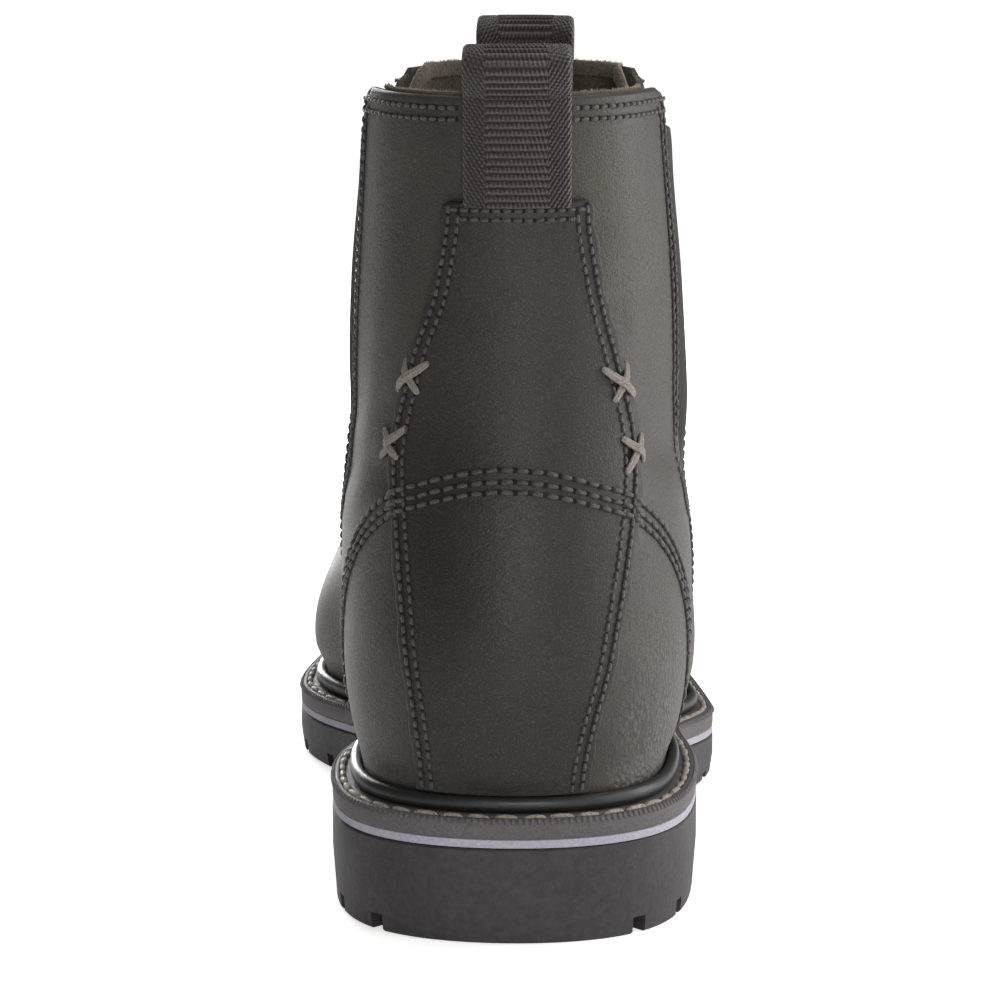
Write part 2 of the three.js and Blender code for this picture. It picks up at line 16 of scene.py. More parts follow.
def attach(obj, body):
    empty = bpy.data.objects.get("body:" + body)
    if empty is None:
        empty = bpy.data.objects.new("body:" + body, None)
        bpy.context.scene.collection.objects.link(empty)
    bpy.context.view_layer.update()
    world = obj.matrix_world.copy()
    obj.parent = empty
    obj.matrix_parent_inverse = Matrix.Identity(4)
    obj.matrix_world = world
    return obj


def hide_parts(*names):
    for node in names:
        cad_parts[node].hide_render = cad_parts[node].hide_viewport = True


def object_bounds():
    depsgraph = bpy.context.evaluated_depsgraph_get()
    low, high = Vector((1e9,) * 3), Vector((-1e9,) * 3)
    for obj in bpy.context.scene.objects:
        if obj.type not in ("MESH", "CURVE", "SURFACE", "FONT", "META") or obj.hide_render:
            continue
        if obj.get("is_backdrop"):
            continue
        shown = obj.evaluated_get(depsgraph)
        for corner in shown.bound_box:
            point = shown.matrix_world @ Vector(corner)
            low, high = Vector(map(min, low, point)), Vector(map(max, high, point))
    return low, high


began = time.perf_counter()
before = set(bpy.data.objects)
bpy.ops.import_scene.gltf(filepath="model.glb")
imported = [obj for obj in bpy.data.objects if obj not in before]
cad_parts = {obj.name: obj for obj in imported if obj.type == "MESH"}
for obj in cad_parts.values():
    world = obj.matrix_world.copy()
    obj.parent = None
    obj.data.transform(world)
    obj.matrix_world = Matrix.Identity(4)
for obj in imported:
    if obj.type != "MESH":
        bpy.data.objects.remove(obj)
print("nodes in the packed part", len(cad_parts))
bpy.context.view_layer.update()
METRES = 0.001

# %% [markdown]
# The last's surface is the one shape that all soft pieces share: leather, gore, stay, lining and
# stitches lie on it at their own depth. It is a loft through belts, as in the part, but smooth.

# %% Sizes shared with the part
sole = dict(length=306, ball=118, heel=91, heel_round=62, toe_round=46, swing=10, heel_length=76)
layer = dict(heel=23.4, fore=12.2, arch=12, spring=10, midsole=2, welt=4.7, ledge=4.3)
upper = dict(wall=2.2, gap=0.3, collar=200, collar_length=121, collar_width=76, setback=10, instep=104)
rand = dict(width=3.2, height=4.2)
gore = dict(thick=1.5, top=54, bottom=26, depth=104, lap=7, drop=11, back=46, corner=6)
stay = dict(thick=1.4, width=59, top=176, lean=2.1)
loop = dict(width=25, thick=1.8, rise=11, bulge=8.5, leg=24)
webbing = dict(pitch=1.7, slant=24.0, middle=0.27, ribs=58.0)
heel_back = -sole["heel_length"] / 2

foot_rows = np.array([
    # v, back, front, back up, front up, heel, waist out, waist in, ball out, ball in, toe out, toe in
    [0.07, 0.018, 0.985, 0.13, 0.15, 0.460, 0.310, 0.280, 0.426, 0.472, 0.400, 0.405],
    [0.14, 0.011, 0.988, 0.28, 0.29, 0.484, 0.325, 0.318, 0.428, 0.462, 0.402, 0.405],
    [0.26, 0.008, 0.968, 0.52, 0.47, 0.498, 0.358, 0.362, 0.406, 0.394, 0.375, 0.375],
    [0.37, 0.013, 0.895, 0.75, 0.65, 0.498, 0.362, 0.384, 0.350, 0.338, 0.312, 0.312],
    [0.48, 0.024, 0.755, 1.00, 0.84, 0.480, 0.352, 0.378, 0.318, 0.318, 0.252, 0.252],
])
shaft_rows = np.array([
    # v, back, front, back up, front up, heel, waist, ball, toe
    [0.60, 1.15, 0.560, 0.18, 0.05, 0.535, 0.562, 0.500, 0.400],
    [0.70, 1.25, 0.255, 0.36, 0.25, 0.525, 0.556, 0.500, 0.415],
    [0.80, 1.25, 0.085, 0.57, 0.50, 0.512, 0.542, 0.500, 0.425],
    [0.90, 1.12, 0.015, 0.785, 0.76, 0.494, 0.515, 0.490, 0.425],
    [1.00, 1.00, 0.000, 1.00, 1.02, 0.475, 0.500, 0.480, 0.415],
])
outer_stations = [0, 0.17, 0.38, 0.57, 0.84, 1]
inner_stations = [0, 0.17, 0.42, 0.645, 0.86, 1]


# %% [markdown]
# A last is the foot-shaped block that a boot is built on. Here its outline at each height is a belt, a
# closed curve with its own half widths from heel to toe. Sculpting could give the form too, but smooth
# curves through the tables above keep it equal to the part's.


# %% Curves through tables
def ramp(a, b, t):
    k = np.clip((t - a) / (b - a), 0, 1)
    return k * k * (3 - 2 * k)


def through(knots, values, t):
    knots = np.asarray(knots, float)
    values = np.asarray(values, float)
    step = np.diff(knots)
    slope = np.diff(values) / step
    tangent = np.zeros(len(values))
    both = slope[:-1] * slope[1:]
    rising = both > 0
    tangent[1:-1][rising] = 2 * both[rising] / (slope[:-1] + slope[1:])[rising]
    t = np.clip(t, knots[0], knots[-1])
    i = np.clip(np.searchsorted(knots, t, side="right") - 1, 0, len(step) - 1)
    h = step[i]
    k = (t - knots[i]) / h
    low = (2 * k**3 - 3 * k**2 + 1) * values[i] + (k**3 - 2 * k**2 + k) * h * tangent[i]
    return low + (3 * k**2 - 2 * k**3) * values[i + 1] + (k**3 - k**2) * h * tangent[i + 1]


def along(y):
    return (y - heel_back) / sole["length"]


def spring_at(t):
    return layer["spring"] * np.maximum(0, (t - 0.7) / 0.3) ** 2


def outsole_top(y):
    t = along(y)
    return layer["fore"] + (layer["heel"] - layer["fore"]) * (1 - ramp(0.2, 0.6, t)) + spring_at(t)


def tread_base(y):
    t = along(y)
    return layer["arch"] * (1 - ramp(0.34, 0.52, t)) + spring_at(t)


def midsole_top(y):
    return outsole_top(y) + upper["gap"] + layer["midsole"]


def welt_top(y):
    return midsole_top(y) + upper["gap"] + layer["welt"]


def upper_seat(y):
    return welt_top(y) + upper["gap"]


def middle_at(y):
    return -sole["swing"] * ramp(0.35, 0.8, along(y))


print("the upper's seat at the heel is", round(float(upper_seat(heel_back)), 2), "mm up")


# %% Belts of the last
def belt_point(belt, theta):
    s = (1 - np.cos(theta)) / 2
    outer = np.sin(theta) >= 0
    outer_half = through(outer_stations, belt["outer"], s)
    half = np.where(outer, outer_half, through(inner_stations, belt["inner"], s))
    toe_end = (belt["outer"][5] + belt["inner"][5]) / 2
    back_share = belt["back_round"] / belt["outer"][0] ** 2
    front_share = belt["front_round"] / toe_end**2
    power = np.where(s < 0.5, back_share, front_share) * belt["length"]
    closing = np.sqrt(np.maximum(0, 1 - np.abs(np.cos(theta)) ** power))
    y = belt["back"] + belt["length"] * s
    return np.where(outer, 1, -1) * half * closing + middle_at(y), y


def foot_belt(halves, back, length, back_round, front_round, **more):
    heel, waist_out, waist_in, ball_out, ball_in, toe_out, toe_in = halves

    def half_widths(waist, ball, toe):
        end = np.array([waist, ball, toe, toe * 0.97]) * sole["ball"]
        return [heel * sole["heel"]] * 2 + list(end)

    made = dict(outer=half_widths(waist_out, ball_out, toe_out), inner=half_widths(waist_in, ball_in, toe_in))
    made.update(back=back, length=length, back_round=back_round, front_round=front_round, **more)
    return made


sole_row = [0.505, 0.355, 0.310, 0.474, 0.508, 0.435, 0.440]
sole_belt = foot_belt(sole_row, heel_back, sole["length"], sole["heel_round"], sole["toe_round"])
welt_zero = float(upper_seat(heel_back))
high_belts = []
for row in foot_rows:
    v, back, front, back_up, front_up = row[:5]
    high_belts.append(foot_belt(
        row[5:], heel_back + back * sole["length"], (front - back) * sole["length"],
        sole["heel_round"] * (0.64 - 0.17 * v), sole["toe_round"] * (0.95 - 0.55 * v), v=v,
        back_height=welt_zero + back_up * (upper["instep"] - welt_zero),
        front_height=welt_zero + front_up * (upper["instep"] - welt_zero),
    ))
collar_front = upper["setback"] + upper["collar_length"]
instep_reach = foot_rows[-1, 2] * sole["length"]
for v, back, front, back_up, front_up, heel, waist, ball, toe in shaft_rows:
    start = back * upper["setback"]
    end = collar_front + front * (instep_reach - collar_front)
    widths = list(np.array([heel, heel, waist, ball, toe, toe]) * upper["collar_width"])
    rise = upper["collar"] - upper["instep"]
    high_belts.append(dict(
        outer=widths, inner=widths, v=v, back=heel_back + start, length=end - start,
        back_round=sole["heel_round"] * 0.54, front_round=sole["toe_round"] * 0.62,
        back_height=upper["instep"] + back_up * rise, front_height=upper["instep"] + front_up * rise,
    ))


print("belts", len(high_belts))


# %% The surface itself
def sole_edge(theta, inset):
    step = 1e-3
    ax, ay = belt_point(sole_belt, theta - step)
    bx, by = belt_point(sole_belt, theta + step)
    x, y = belt_point(sole_belt, theta)
    tx, ty = bx - ax, by - ay
    size = np.hypot(tx, ty)
    return x - inset * ty / size, y + inset * tx / size


feather = layer["ledge"] + rand["width"] + upper["gap"]
knots = np.array([0, 0.035] + [belt["v"] for belt in high_belts])


def all_belts(theta):
    found = []
    for inset, lift in ((feather, 0), (feather - 0.5, rand["height"] + upper["gap"])):
        x, y = sole_edge(theta, inset)
        found.append(np.stack([x, y, upper_seat(y) + lift], -1))
    for belt in high_belts:
        x, y = belt_point(belt, theta)
        s = (y - belt["back"]) / belt["length"]
        line = belt["back_height"] + (belt["front_height"] - belt["back_height"]) * s
        low, high = upper_seat(belt["back"]), upper_seat(belt["back"] + belt["length"])
        follow = 1 - ramp(0, 0.45, belt["v"])
        found.append(np.stack([x, y, line + follow * (upper_seat(y) - low - (high - low) * s)], -1))
    return np.stack(found)


def outer_point(theta, v):
    theta, v = np.broadcast_arrays(np.asarray(theta, float), np.asarray(v, float))
    shape = theta.shape
    theta, v = theta.ravel(), v.ravel()
    at = all_belts(theta)
    last = len(knots) - 1
    i = np.clip(np.searchsorted(knots, v, side="left") - 1, 0, last - 1)
    n = np.arange(len(theta))
    h = (knots[i + 1] - knots[i])[:, None]
    k = (v - knots[i])[:, None] / h

    def tangent(j):
        lo, hi = np.maximum(0, j - 1), np.minimum(last, j + 1)
        return (at[hi, n] - at[lo, n]) * h / (knots[hi] - knots[lo])[:, None]

    point = at[i, n] * (2 * k**3 - 3 * k**2 + 1) + tangent(i) * (k**3 - 2 * k**2 + k)
    point = point + at[i + 1, n] * (3 * k**2 - 2 * k**3) + tangent(i + 1) * (k**3 - k**2)
    return point.reshape(shape + (3,))


def outward_at(theta, v):
    step = 2e-3
    round_way = outer_point(theta + step, v) - outer_point(theta - step, v)
    up_way = outer_point(theta, np.minimum(1, v + step)) - outer_point(theta, np.maximum(0, v - step))
    out = np.cross(round_way, up_way)
    return out / np.linalg.norm(out, axis=-1, keepdims=True)


def upper_point(theta, v, depth):
    theta, v, depth = np.broadcast_arrays(*[np.asarray(value, float) for value in (theta, v, depth)])
    point = outer_point(theta, v)
    moved = point - outward_at(theta, v) * depth[..., None]
    rim = (v <= 0) | (v >= 1)
    moved[..., 2] = np.where(rim, point[..., 2], moved[..., 2])
    return moved


# %% [markdown]
# Seams and edges are drawn in a side view or a back view, as a maker would mark them. To lie on the
# leather, each point has to be found on the surface: the nearest point of a grid, made better by a few
# steps of Newton's method. A shrinkwrap could do that too, but it gives no place in the surface's own
# directions, which the creases and the layers need.


# %% Finding a place on the surface
def locate(targets, axes, theta_range, v_range):
    targets = np.asarray(targets, float)
    grid_theta, grid_v = np.meshgrid(np.linspace(*theta_range, 90), np.linspace(*v_range, 90))
    grid = outer_point(grid_theta, grid_v)[..., axes].reshape(-1, 2)
    tree = KDTree(len(grid))
    for i, (a, b) in enumerate(grid.tolist()):
        tree.insert((a, b, 0), i)
    tree.balance()
    nearest = np.array([tree.find((a, b, 0))[1] for a, b in targets.tolist()])
    theta = grid_theta.ravel()[nearest].copy()
    v = grid_v.ravel()[nearest].copy()
    step = 1e-4
    for _ in range(8):
        here = outer_point(theta, v)[:, axes]
        over_theta = (outer_point(theta + step, v)[:, axes] - here) / step
        over_v = (here - outer_point(theta, v - step)[:, axes]) / step
        miss = targets - here
        size = over_theta[:, 0] * over_v[:, 1] - over_theta[:, 1] * over_v[:, 0]
        size = np.where(np.abs(size) < 1e-6, 1e-6, size)
        move_theta = (miss[:, 0] * over_v[:, 1] - miss[:, 1] * over_v[:, 0]) / size
        move_v = (over_theta[:, 0] * miss[:, 1] - over_theta[:, 1] * miss[:, 0]) / size
        theta = np.clip(theta + np.clip(move_theta, -0.1, 0.1), *theta_range)
        v = np.clip(v + np.clip(move_v, -0.05, 0.05), *v_range)
    return theta, v


def from_side(points, side):
    ends = (0.25, 2.6) if side > 0 else (-2.6, -0.25)
    return locate(points, [1, 2], ends, (0.01, 1))


def from_back(points):
    return locate(points, [0, 2], (-1.35, 1.35), (0.01, 1))


# %% Meshes and pieces
def make_mesh(name, points, faces, material=None, smooth=True):
    name = name.replace(" ", "_")
    mesh = bpy.data.meshes.new(name)
    face_list = faces if isinstance(faces, list) else faces.tolist()
    mesh.from_pydata((np.asarray(points) * METRES).tolist(), [], face_list)
    mesh.polygons.foreach_set("use_smooth", [smooth] * len(mesh.polygons))
    if material:
        mesh.materials.append(material)
    made = bpy.data.objects.new(name, mesh)
    bpy.context.collection.objects.link(made)
    return made


def settle(piece, slot, *nodes):
    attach(piece, "root")
    if nodes:
        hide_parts(*nodes)
    print(piece.name, "faces", len(piece.data.polygons), "at", round(time.perf_counter() - began, 1), "s")
    return piece


def grid_faces(rows, columns, wrap=False, flip=False):
    i = np.arange(rows - 1)[:, None]
    j = np.arange(columns if wrap else columns - 1)[None, :]
    k = (j + 1) % columns
    quads = np.stack([i * columns + j, i * columns + k, (i + 1) * columns + k, (i + 1) * columns + j], -1)
    quads = quads.reshape(-1, 4)
    return quads[:, ::-1] if flip else quads


def sheet_faces(rows, columns, flip=False):
    """The faces of a sheet with a top and an underside, and how many of them close its edge."""
    n = rows * columns
    skin = grid_faces(rows, columns, flip=flip)
    index = np.arange(n).reshape(rows, columns)
    ring = np.concatenate([index[0], index[1:, -1], index[-1, -2::-1], index[-2:0:-1, 0]])
    after = np.roll(ring, -1)
    walls = np.stack([after, ring, ring + n, after + n], -1)
    if flip:
        walls = walls[:, ::-1]
    return skin.tolist() + (skin[:, ::-1] + n).tolist() + walls.tolist(), len(walls)


def full_turn(count):
    """Even steps once round, without the last one that would repeat the first."""
    return np.linspace(0, 2 * math.pi, count + 1)[:-1]


def ring_loft(rings, tube):
    rows, columns = len(rings), len(rings[0])
    points = np.concatenate(rings)
    faces = grid_faces(rows, columns, wrap=True).tolist()
    if tube:
        j = np.arange(columns)
        k = (j + 1) % columns
        top = (rows - 1) * columns
        faces += np.stack([top + j, top + k, k, j], -1).tolist()
    else:
        faces.append(list(range(columns))[::-1])
        faces.append(list(range((rows - 1) * columns, rows * columns)))
    return points, faces


# %% [markdown]
# Shared effects are shader node groups that give masks and heights only; every material keeps its own
# surface shader. Grain is fine cells over soft lumps, wear is clouds, scratches and dust, and weave is
# the over and under of yarns in the webbing. A painted texture could hold all this, but it would blur
# close up and would need a map for each piece.

# %% Shader helpers
def srgb(r, g, b):
    values = [c / 255 for c in (r, g, b)]
    return tuple(c / 12.92 if c < 0.04 else ((c + 0.055) / 1.055) ** 2.4 for c in values) + (1,)


def put(tree, kind, links=None, **settings):
    node = tree.nodes.new(kind)
    for key, value in settings.items():
        setattr(node, key, value)
    for key, value in (links or {}).items():
        if isinstance(value, bpy.types.NodeSocket):
            tree.links.new(value, node.inputs[key])
        else:
            node.inputs[key].default_value = value
    return node


def calc(tree, operation, a, b=0.0):
    return put(tree, "ShaderNodeMath", {0: a, 1: b}, operation=operation).outputs[0]


def times(tree, a, b):
    return calc(tree, "MULTIPLY", a, b)


def plus(tree, a, b):
    return calc(tree, "ADD", a, b)


def wave(tree, turns):
    """A sine of a value counted in radians."""
    return calc(tree, "SINE", turns)


def remap(tree, value, low, high, to_low=0.0, to_high=1.0):
    links = {"Value": value, "From Min": low, "From Max": high, "To Min": to_low, "To Max": to_high}
    return put(tree, "ShaderNodeMapRange", links, clamp=True).outputs[0]


def blend(tree, share, a, b):
    node = put(tree, "ShaderNodeMix", data_type="RGBA")
    for place, value in ((0, share), (6, a), (7, b)):
        if isinstance(value, bpy.types.NodeSocket):
            tree.links.new(value, node.inputs[place])
        else:
            node.inputs[place].default_value = value
    return node.outputs[2]


def noise(tree, vector, scale, detail=4.0, rough=0.55):
    links = {"Vector": vector, "Scale": scale, "Detail": detail, "Roughness": rough}
    return put(tree, "ShaderNodeTexNoise", links).outputs[0]


def cells(tree, vector, scale):
    return put(tree, "ShaderNodeTexVoronoi", {"Vector": vector, "Scale": scale}).outputs["Distance"]


def new_group(name, inputs, outputs):
    tree = bpy.data.node_groups.new(name, "ShaderNodeTree")
    for label, value in inputs.items():
        kind = "NodeSocketVector" if label == "Vector" else "NodeSocketFloat"
        socket = tree.interface.new_socket(label, in_out="INPUT", socket_type=kind)
        if kind == "NodeSocketFloat":
            socket.default_value = value
    for label in outputs:
        tree.interface.new_socket(label, in_out="OUTPUT", socket_type="NodeSocketFloat")
    return tree, tree.nodes.new("NodeGroupInput").outputs, tree.nodes.new("NodeGroupOutput").inputs


def use_group(tree, shared, **links):
    node = put(tree, "ShaderNodeGroup", node_tree=shared)
    for key, value in links.items():
        socket = node.inputs[key]
        if isinstance(value, bpy.types.NodeSocket):
            tree.links.new(value, socket)
        else:
            socket.default_value = value
    return node.outputs


# %% Grain, wear and weave
def make_grain():
    """Fine cells over coarser ones and soft lumps, with the pores where the fine cells meet."""
    tree, given, results = new_group("grain", {"Vector": 0, "Scale": 900.0}, ["Height", "Pores"])
    fine = cells(tree, given["Vector"], given["Scale"])
    coarse = cells(tree, given["Vector"], times(tree, given["Scale"], 0.45))
    soft = noise(tree, given["Vector"], times(tree, given["Scale"], 0.3))
    both = plus(tree, times(tree, fine, -0.6), times(tree, coarse, -0.4))
    tree.links.new(plus(tree, both, times(tree, soft, 0.8)), results["Height"])
    tree.links.new(remap(tree, fine, 0.42, 0.62), results["Pores"])
    return tree


def make_wear():
    """Cloudy rubbing, upright scratches in a few patches, and specks of dust."""
    inputs = {"Vector": 0, "Scale": 18.0, "Amount": 0.5}
    tree, given, results = new_group("wear", inputs, ["Clouds", "Scratches", "Dust"])
    place = given["Vector"]
    clouds = noise(tree, place, given["Scale"], 6.0, 0.62)
    tree.links.new(remap(tree, clouds, 0.36, 0.68), results["Clouds"])
    flattened = {0: place, 1: (1.0, 1.0, 0.08)}
    stretched = put(tree, "ShaderNodeVectorMath", flattened, operation="MULTIPLY").outputs[0]
    lines = remap(tree, noise(tree, stretched, 420.0, 3.0, 0.6), 0.66, 0.74)
    patches = remap(tree, noise(tree, place, 45.0, 2.0), 0.56, 0.66)
    tree.links.new(times(tree, lines, patches), results["Scratches"])
    specks = remap(tree, noise(tree, place, 1500.0, 2.0), 0.60, 0.72)
    dusty = remap(tree, noise(tree, place, 30.0, 4.0), 0.42, 0.66)
    tree.links.new(times(tree, times(tree, specks, dusty), given["Amount"]), results["Dust"])
    return tree


def make_weave():
    """Ribs across the middle of the tape, slanted twill at its sides, and yarns within both. The vector
    is the tape's own UV: 0 to 1 across it, and 0 to 1 for each set of ribs along it."""
    inputs = {"Vector": 0, "Ribs": webbing["ribs"], "Twill": webbing["slant"], "Band": webbing["middle"]}
    tree, given, results = new_group("weave", inputs, ["Height", "Shade"])
    split = put(tree, "ShaderNodeSeparateXYZ", {0: given["Vector"]}).outputs
    from_middle = calc(tree, "ABSOLUTE", calc(tree, "SUBTRACT", split[0], 0.5))
    at_side = remap(tree, from_middle, given["Band"], plus(tree, given["Band"], 0.012))
    turn = times(tree, split[1], given["Ribs"])
    rib = wave(tree, times(tree, turn, 2 * math.pi))
    yarn = wave(tree, plus(tree, times(tree, split[0], 157.0), times(tree, turn, 3.0)))
    centre = plus(tree, times(tree, rib, 0.34), times(tree, yarn, 0.26))
    slanted = calc(tree, "SUBTRACT", turn, times(tree, from_middle, given["Twill"]))
    twill = times(tree, wave(tree, times(tree, slanted, 2 * math.pi)), 0.36)
    strands = wave(tree, plus(tree, times(tree, turn, 13.0), times(tree, split[0], 40.0)))
    twill = plus(tree, twill, times(tree, strands, 0.20))
    inner = times(tree, centre, calc(tree, "SUBTRACT", 1.0, at_side))
    woven = plus(tree, inner, times(tree, twill, at_side))
    tree.links.new(woven, results["Height"])
    # Shade is the height made steeper: a mask for painted highlights on the ridges and painted shade in the
    # gaps
    tree.links.new(calc(tree, "POWER", remap(tree, woven, -0.30, 0.50), 2.0), results["Shade"])
    return tree


grain_group = make_grain()
wear_group = make_wear()
weave_group = make_weave()
print("shared effects", [group.name for group in (grain_group, wear_group, weave_group)])

# %% [markdown]
# Leather: waxed grey-brown nubuck grain, dark where it is oiled and greyer where it is rubbed and where
# the light grazes it. A second normal from the grain gives the fine pores. The lower outer quarter is
# coarser and drier than the rest. The other finishes are simpler: two colours mixed by fine noise,
# darker in the clouds of the wear, with a little dust.

# %% Materials
def new_material(name):
    made = bpy.data.materials.new(name)
    made.use_nodes = True
    tree = made.node_tree
    tree.nodes.clear()
    shader = put(tree, "ShaderNodeBsdfPrincipled")
    out = put(tree, "ShaderNodeOutputMaterial", {"Surface": shader.outputs[0]})
    place = put(tree, "ShaderNodeTexCoord").outputs["Object"]
    return made, tree, shader, place


def bump(tree, shader, height, distance, strength=1.0, under=None):
    links = {"Height": height, "Distance": distance, "Strength": strength}
    if under:
        links["Normal"] = under
    made = put(tree, "ShaderNodeBump", links).outputs[0]
    tree.links.new(made, shader.inputs["Normal"])
    return made


def leather(name, dark, pale, rough, grain_depth):
    made, tree, shader, place = new_material(name)
    wear = use_group(tree, wear_group, Vector=place, Scale=16.0, Amount=0.5)
    grain = use_group(tree, grain_group, Vector=place, Scale=2100.0)
    where = put(tree, "ShaderNodeSeparateXYZ", {0: place}).outputs
    low = remap(tree, where[2], 0.078, 0.050)
    outer_side = remap(tree, where[0], 0.022, 0.034)
    behind = remap(tree, where[1], 0.060, 0.030)
    dry = times(tree, times(tree, low, outer_side), behind)
    dry = times(tree, dry, remap(tree, noise(tree, place, 60.0), 0.3, 0.6))
    colour = blend(tree, wear["Clouds"], dark, pale)
    flecks = remap(tree, noise(tree, place, 2300.0, 3.0), 0.52, 0.74)
    colour = blend(tree, times(tree, flecks, 0.30), colour, srgb(98, 90, 80))
    colour = blend(tree, times(tree, grain["Pores"], 0.30), colour, srgb(22, 19, 17))
    colour = blend(tree, times(tree, wear["Scratches"], 0.20), colour, srgb(88, 81, 73))
    colour = blend(tree, times(tree, wear["Dust"], 0.22), colour, srgb(110, 102, 94))
    pebble = remap(tree, cells(tree, place, 620.0), 0.15, 0.65)
    colour = blend(tree, times(tree, dry, calc(tree, "SUBTRACT", 0.8, pebble)), colour, srgb(92, 87, 84))
    tree.links.new(colour, shader.inputs["Base Color"])
    uneven = plus(tree, times(tree, wear["Clouds"], 0.10), rough)
    matt = plus(tree, uneven, times(tree, grain["Pores"], 0.12))
    tree.links.new(matt, shader.inputs["Roughness"])
    lumps = bump(tree, shader, noise(tree, place, 55.0, 3.0), 0.0006, 0.5)
    rough_skin = bump(tree, shader, times(tree, pebble, times(tree, dry, -1.0)), 0.0005, 0.9, lumps)
    bump(tree, shader, grain["Height"], grain_depth, 0.8, rough_skin)
    shader.inputs["Specular IOR Level"].default_value = 0.36
    shader.inputs["Sheen Weight"].default_value = 0.03
    shader.inputs["Sheen Roughness"].default_value = 0.4
    shader.inputs["Coat Weight"].default_value = 0.06
    shader.inputs["Coat Roughness"].default_value = 0.38
    return made


def plain(name, colour, rough, scale, depth, other=None, sheen=0.0, coat=0.0):
    made, tree, shader, place = new_material(name)
    wear = use_group(tree, wear_group, Vector=place, Scale=28.0, Amount=0.6)
    fine = noise(tree, place, scale, 5.0, 0.65)
    mixed = blend(tree, remap(tree, fine, 0.35, 0.68), colour, other or colour)
    deep = tuple(c * 0.55 for c in colour[:3]) + (1,)
    mixed = blend(tree, times(tree, wear["Clouds"], 0.45), mixed, deep)
    mixed = blend(tree, times(tree, wear["Dust"], 0.25), mixed, srgb(128, 120, 110))
    tree.links.new(mixed, shader.inputs["Base Color"])
    tree.links.new(plus(tree, times(tree, wear["Clouds"], 0.12), rough), shader.inputs["Roughness"])
    bump(tree, shader, fine, depth)
    shader.inputs["Sheen Weight"].default_value = sheen
    shader.inputs["Coat Weight"].default_value = coat
    shader.inputs["Coat Roughness"].default_value = 0.2
    return made


leather_skin = leather("leather", srgb(28, 25, 20), srgb(67, 60, 51), 0.44, 0.00016)
# The stay's leather is the upper's leather in darker colours: painted shade that holds down the sheen the
# light behind the camera puts on the stay
stay_shaded_skin = leather("stay leather shaded darker", srgb(17, 15, 12), srgb(42, 37, 30), 0.46, 0.00015)
elastic_skin = plain("elastic", srgb(44, 39, 34), 0.85, 1800.0, 0.0002, srgb(27, 24, 21), 0.1)
lining_skin = plain("lining", srgb(104, 90, 71), 0.95, 1100.0, 0.0011, srgb(54, 45, 36), 0.2)
cut_edge = plain("cut edge", srgb(78, 69, 56), 0.9, 2600.0, 0.0004, srgb(40, 35, 28), 0.1)
# Near-black for the pressed lines under the stitches: painted shade of a recess that the mesh barely has
groove_shade_skin = plain("groove_shade", srgb(15, 13, 12), 0.6, 1500.0, 0.0002, srgb(8, 7, 7))
# Near-black for the needle holes: painted shade
hole_shade_skin = plain("needle hole shade", srgb(5, 4, 4), 0.9, 1500.0, 0.0001)
bead_skin = plain("bead", srgb(17, 16, 16), 0.44, 260.0, 0.0002, srgb(24, 23, 22), 0.0, 0.08)
welt_skin = plain("welt strip", srgb(99, 93, 94), 0.6, 1400.0, 0.00022, srgb(74, 69, 70))
stripe_skin = plain("stripe", srgb(182, 177, 189), 0.7, 1300.0, 0.0001, srgb(156, 151, 162))
rubber_skin = plain("rubber", srgb(55, 50, 53), 0.56, 500.0, 0.00026, srgb(36, 32, 34))
board_skin = plain("insole board", srgb(112, 97, 76), 0.9, 1600.0, 0.0003, srgb(88, 75, 58), 0.3)
# The dark thread is mixed with a paler tone by fine noise: painted highlights scattered over the stitches
thread_highlight_skin = plain("dark thread with painted highlights", srgb(76, 69, 62), 0.38, 3000.0, 0.0003, srgb(18, 16, 14), 0.15)
cord_skin = plain("waxed cord", srgb(168, 156, 147), 0.45, 2400.0, 0.0006, srgb(74, 66, 61), 0.1)
welt_thread = plain("welt thread", srgb(188, 176, 160), 0.5, 1600.0, 0.0005, srgb(88, 79, 70), 0.1)
fibre_skin = plain("fibre", srgb(150, 135, 112), 0.95, 900.0, 0.00005, srgb(110, 97, 80), 0.5)

webbing_skin, tree, shader, place = new_material("webbing")
own_uv = put(tree, "ShaderNodeTexCoord").outputs["UV"]
weave = use_group(tree, weave_group, Vector=own_uv)
# The webbing's colour follows the weave's height: painted highlights on the ribs and yarn tops, near-black
# painted shade in the gaps
shade = blend(tree, weave["Shade"], srgb(6, 4, 4), srgb(86, 64, 61))
lint = times(tree, remap(tree, noise(tree, place, 2600.0), 0.5, 0.7), 0.25)
shade = blend(tree, lint, shade, srgb(102, 82, 79))
tree.links.new(shade, shader.inputs["Base Color"])
shader.inputs["Roughness"].default_value = 0.72
shader.inputs["Sheen Weight"].default_value = 0.2
yarns = bump(tree, shader, noise(tree, place, 2400.0, 3.0), 0.00025, 0.8)
bump(tree, shader, weave["Height"], 0.0007, 0.9, yarns)
print("materials", len(bpy.data.materials))

# %% [markdown]
# Stitches, welt ribs and fuzz repeat, so each is one small shape that Geometry Nodes lays along paths
# on the surface. The paths are edges that carry the outward direction. The instances are realized and
# kept as plain meshes.


# %% The shapes that repeat
def thread_shape(bend, around=8, rings=9):
    points = []
    for x in np.linspace(-0.5, 0.5, rings):
        radius = 0.5 * math.sqrt(max(0.0, 1 - abs(2 * x) ** 3.5)) * (1 - 0.15 * abs(2 * x)) + 0.02
        for j in range(around):
            turn = 2 * math.pi * j / around
            points.append([x, radius * math.cos(turn), radius * math.sin(turn) - bend * (2 * x) ** 4])
    faces = grid_faces(rings, around, wrap=True, flip=True).tolist()
    faces += [list(range(around)), list(range((rings - 1) * around, rings * around))[::-1]]
    return np.array(points) / METRES, faces


# How far a laid shape may lean about its own axes, in radians
LEAN = (0.06, 0.06, 0.09)


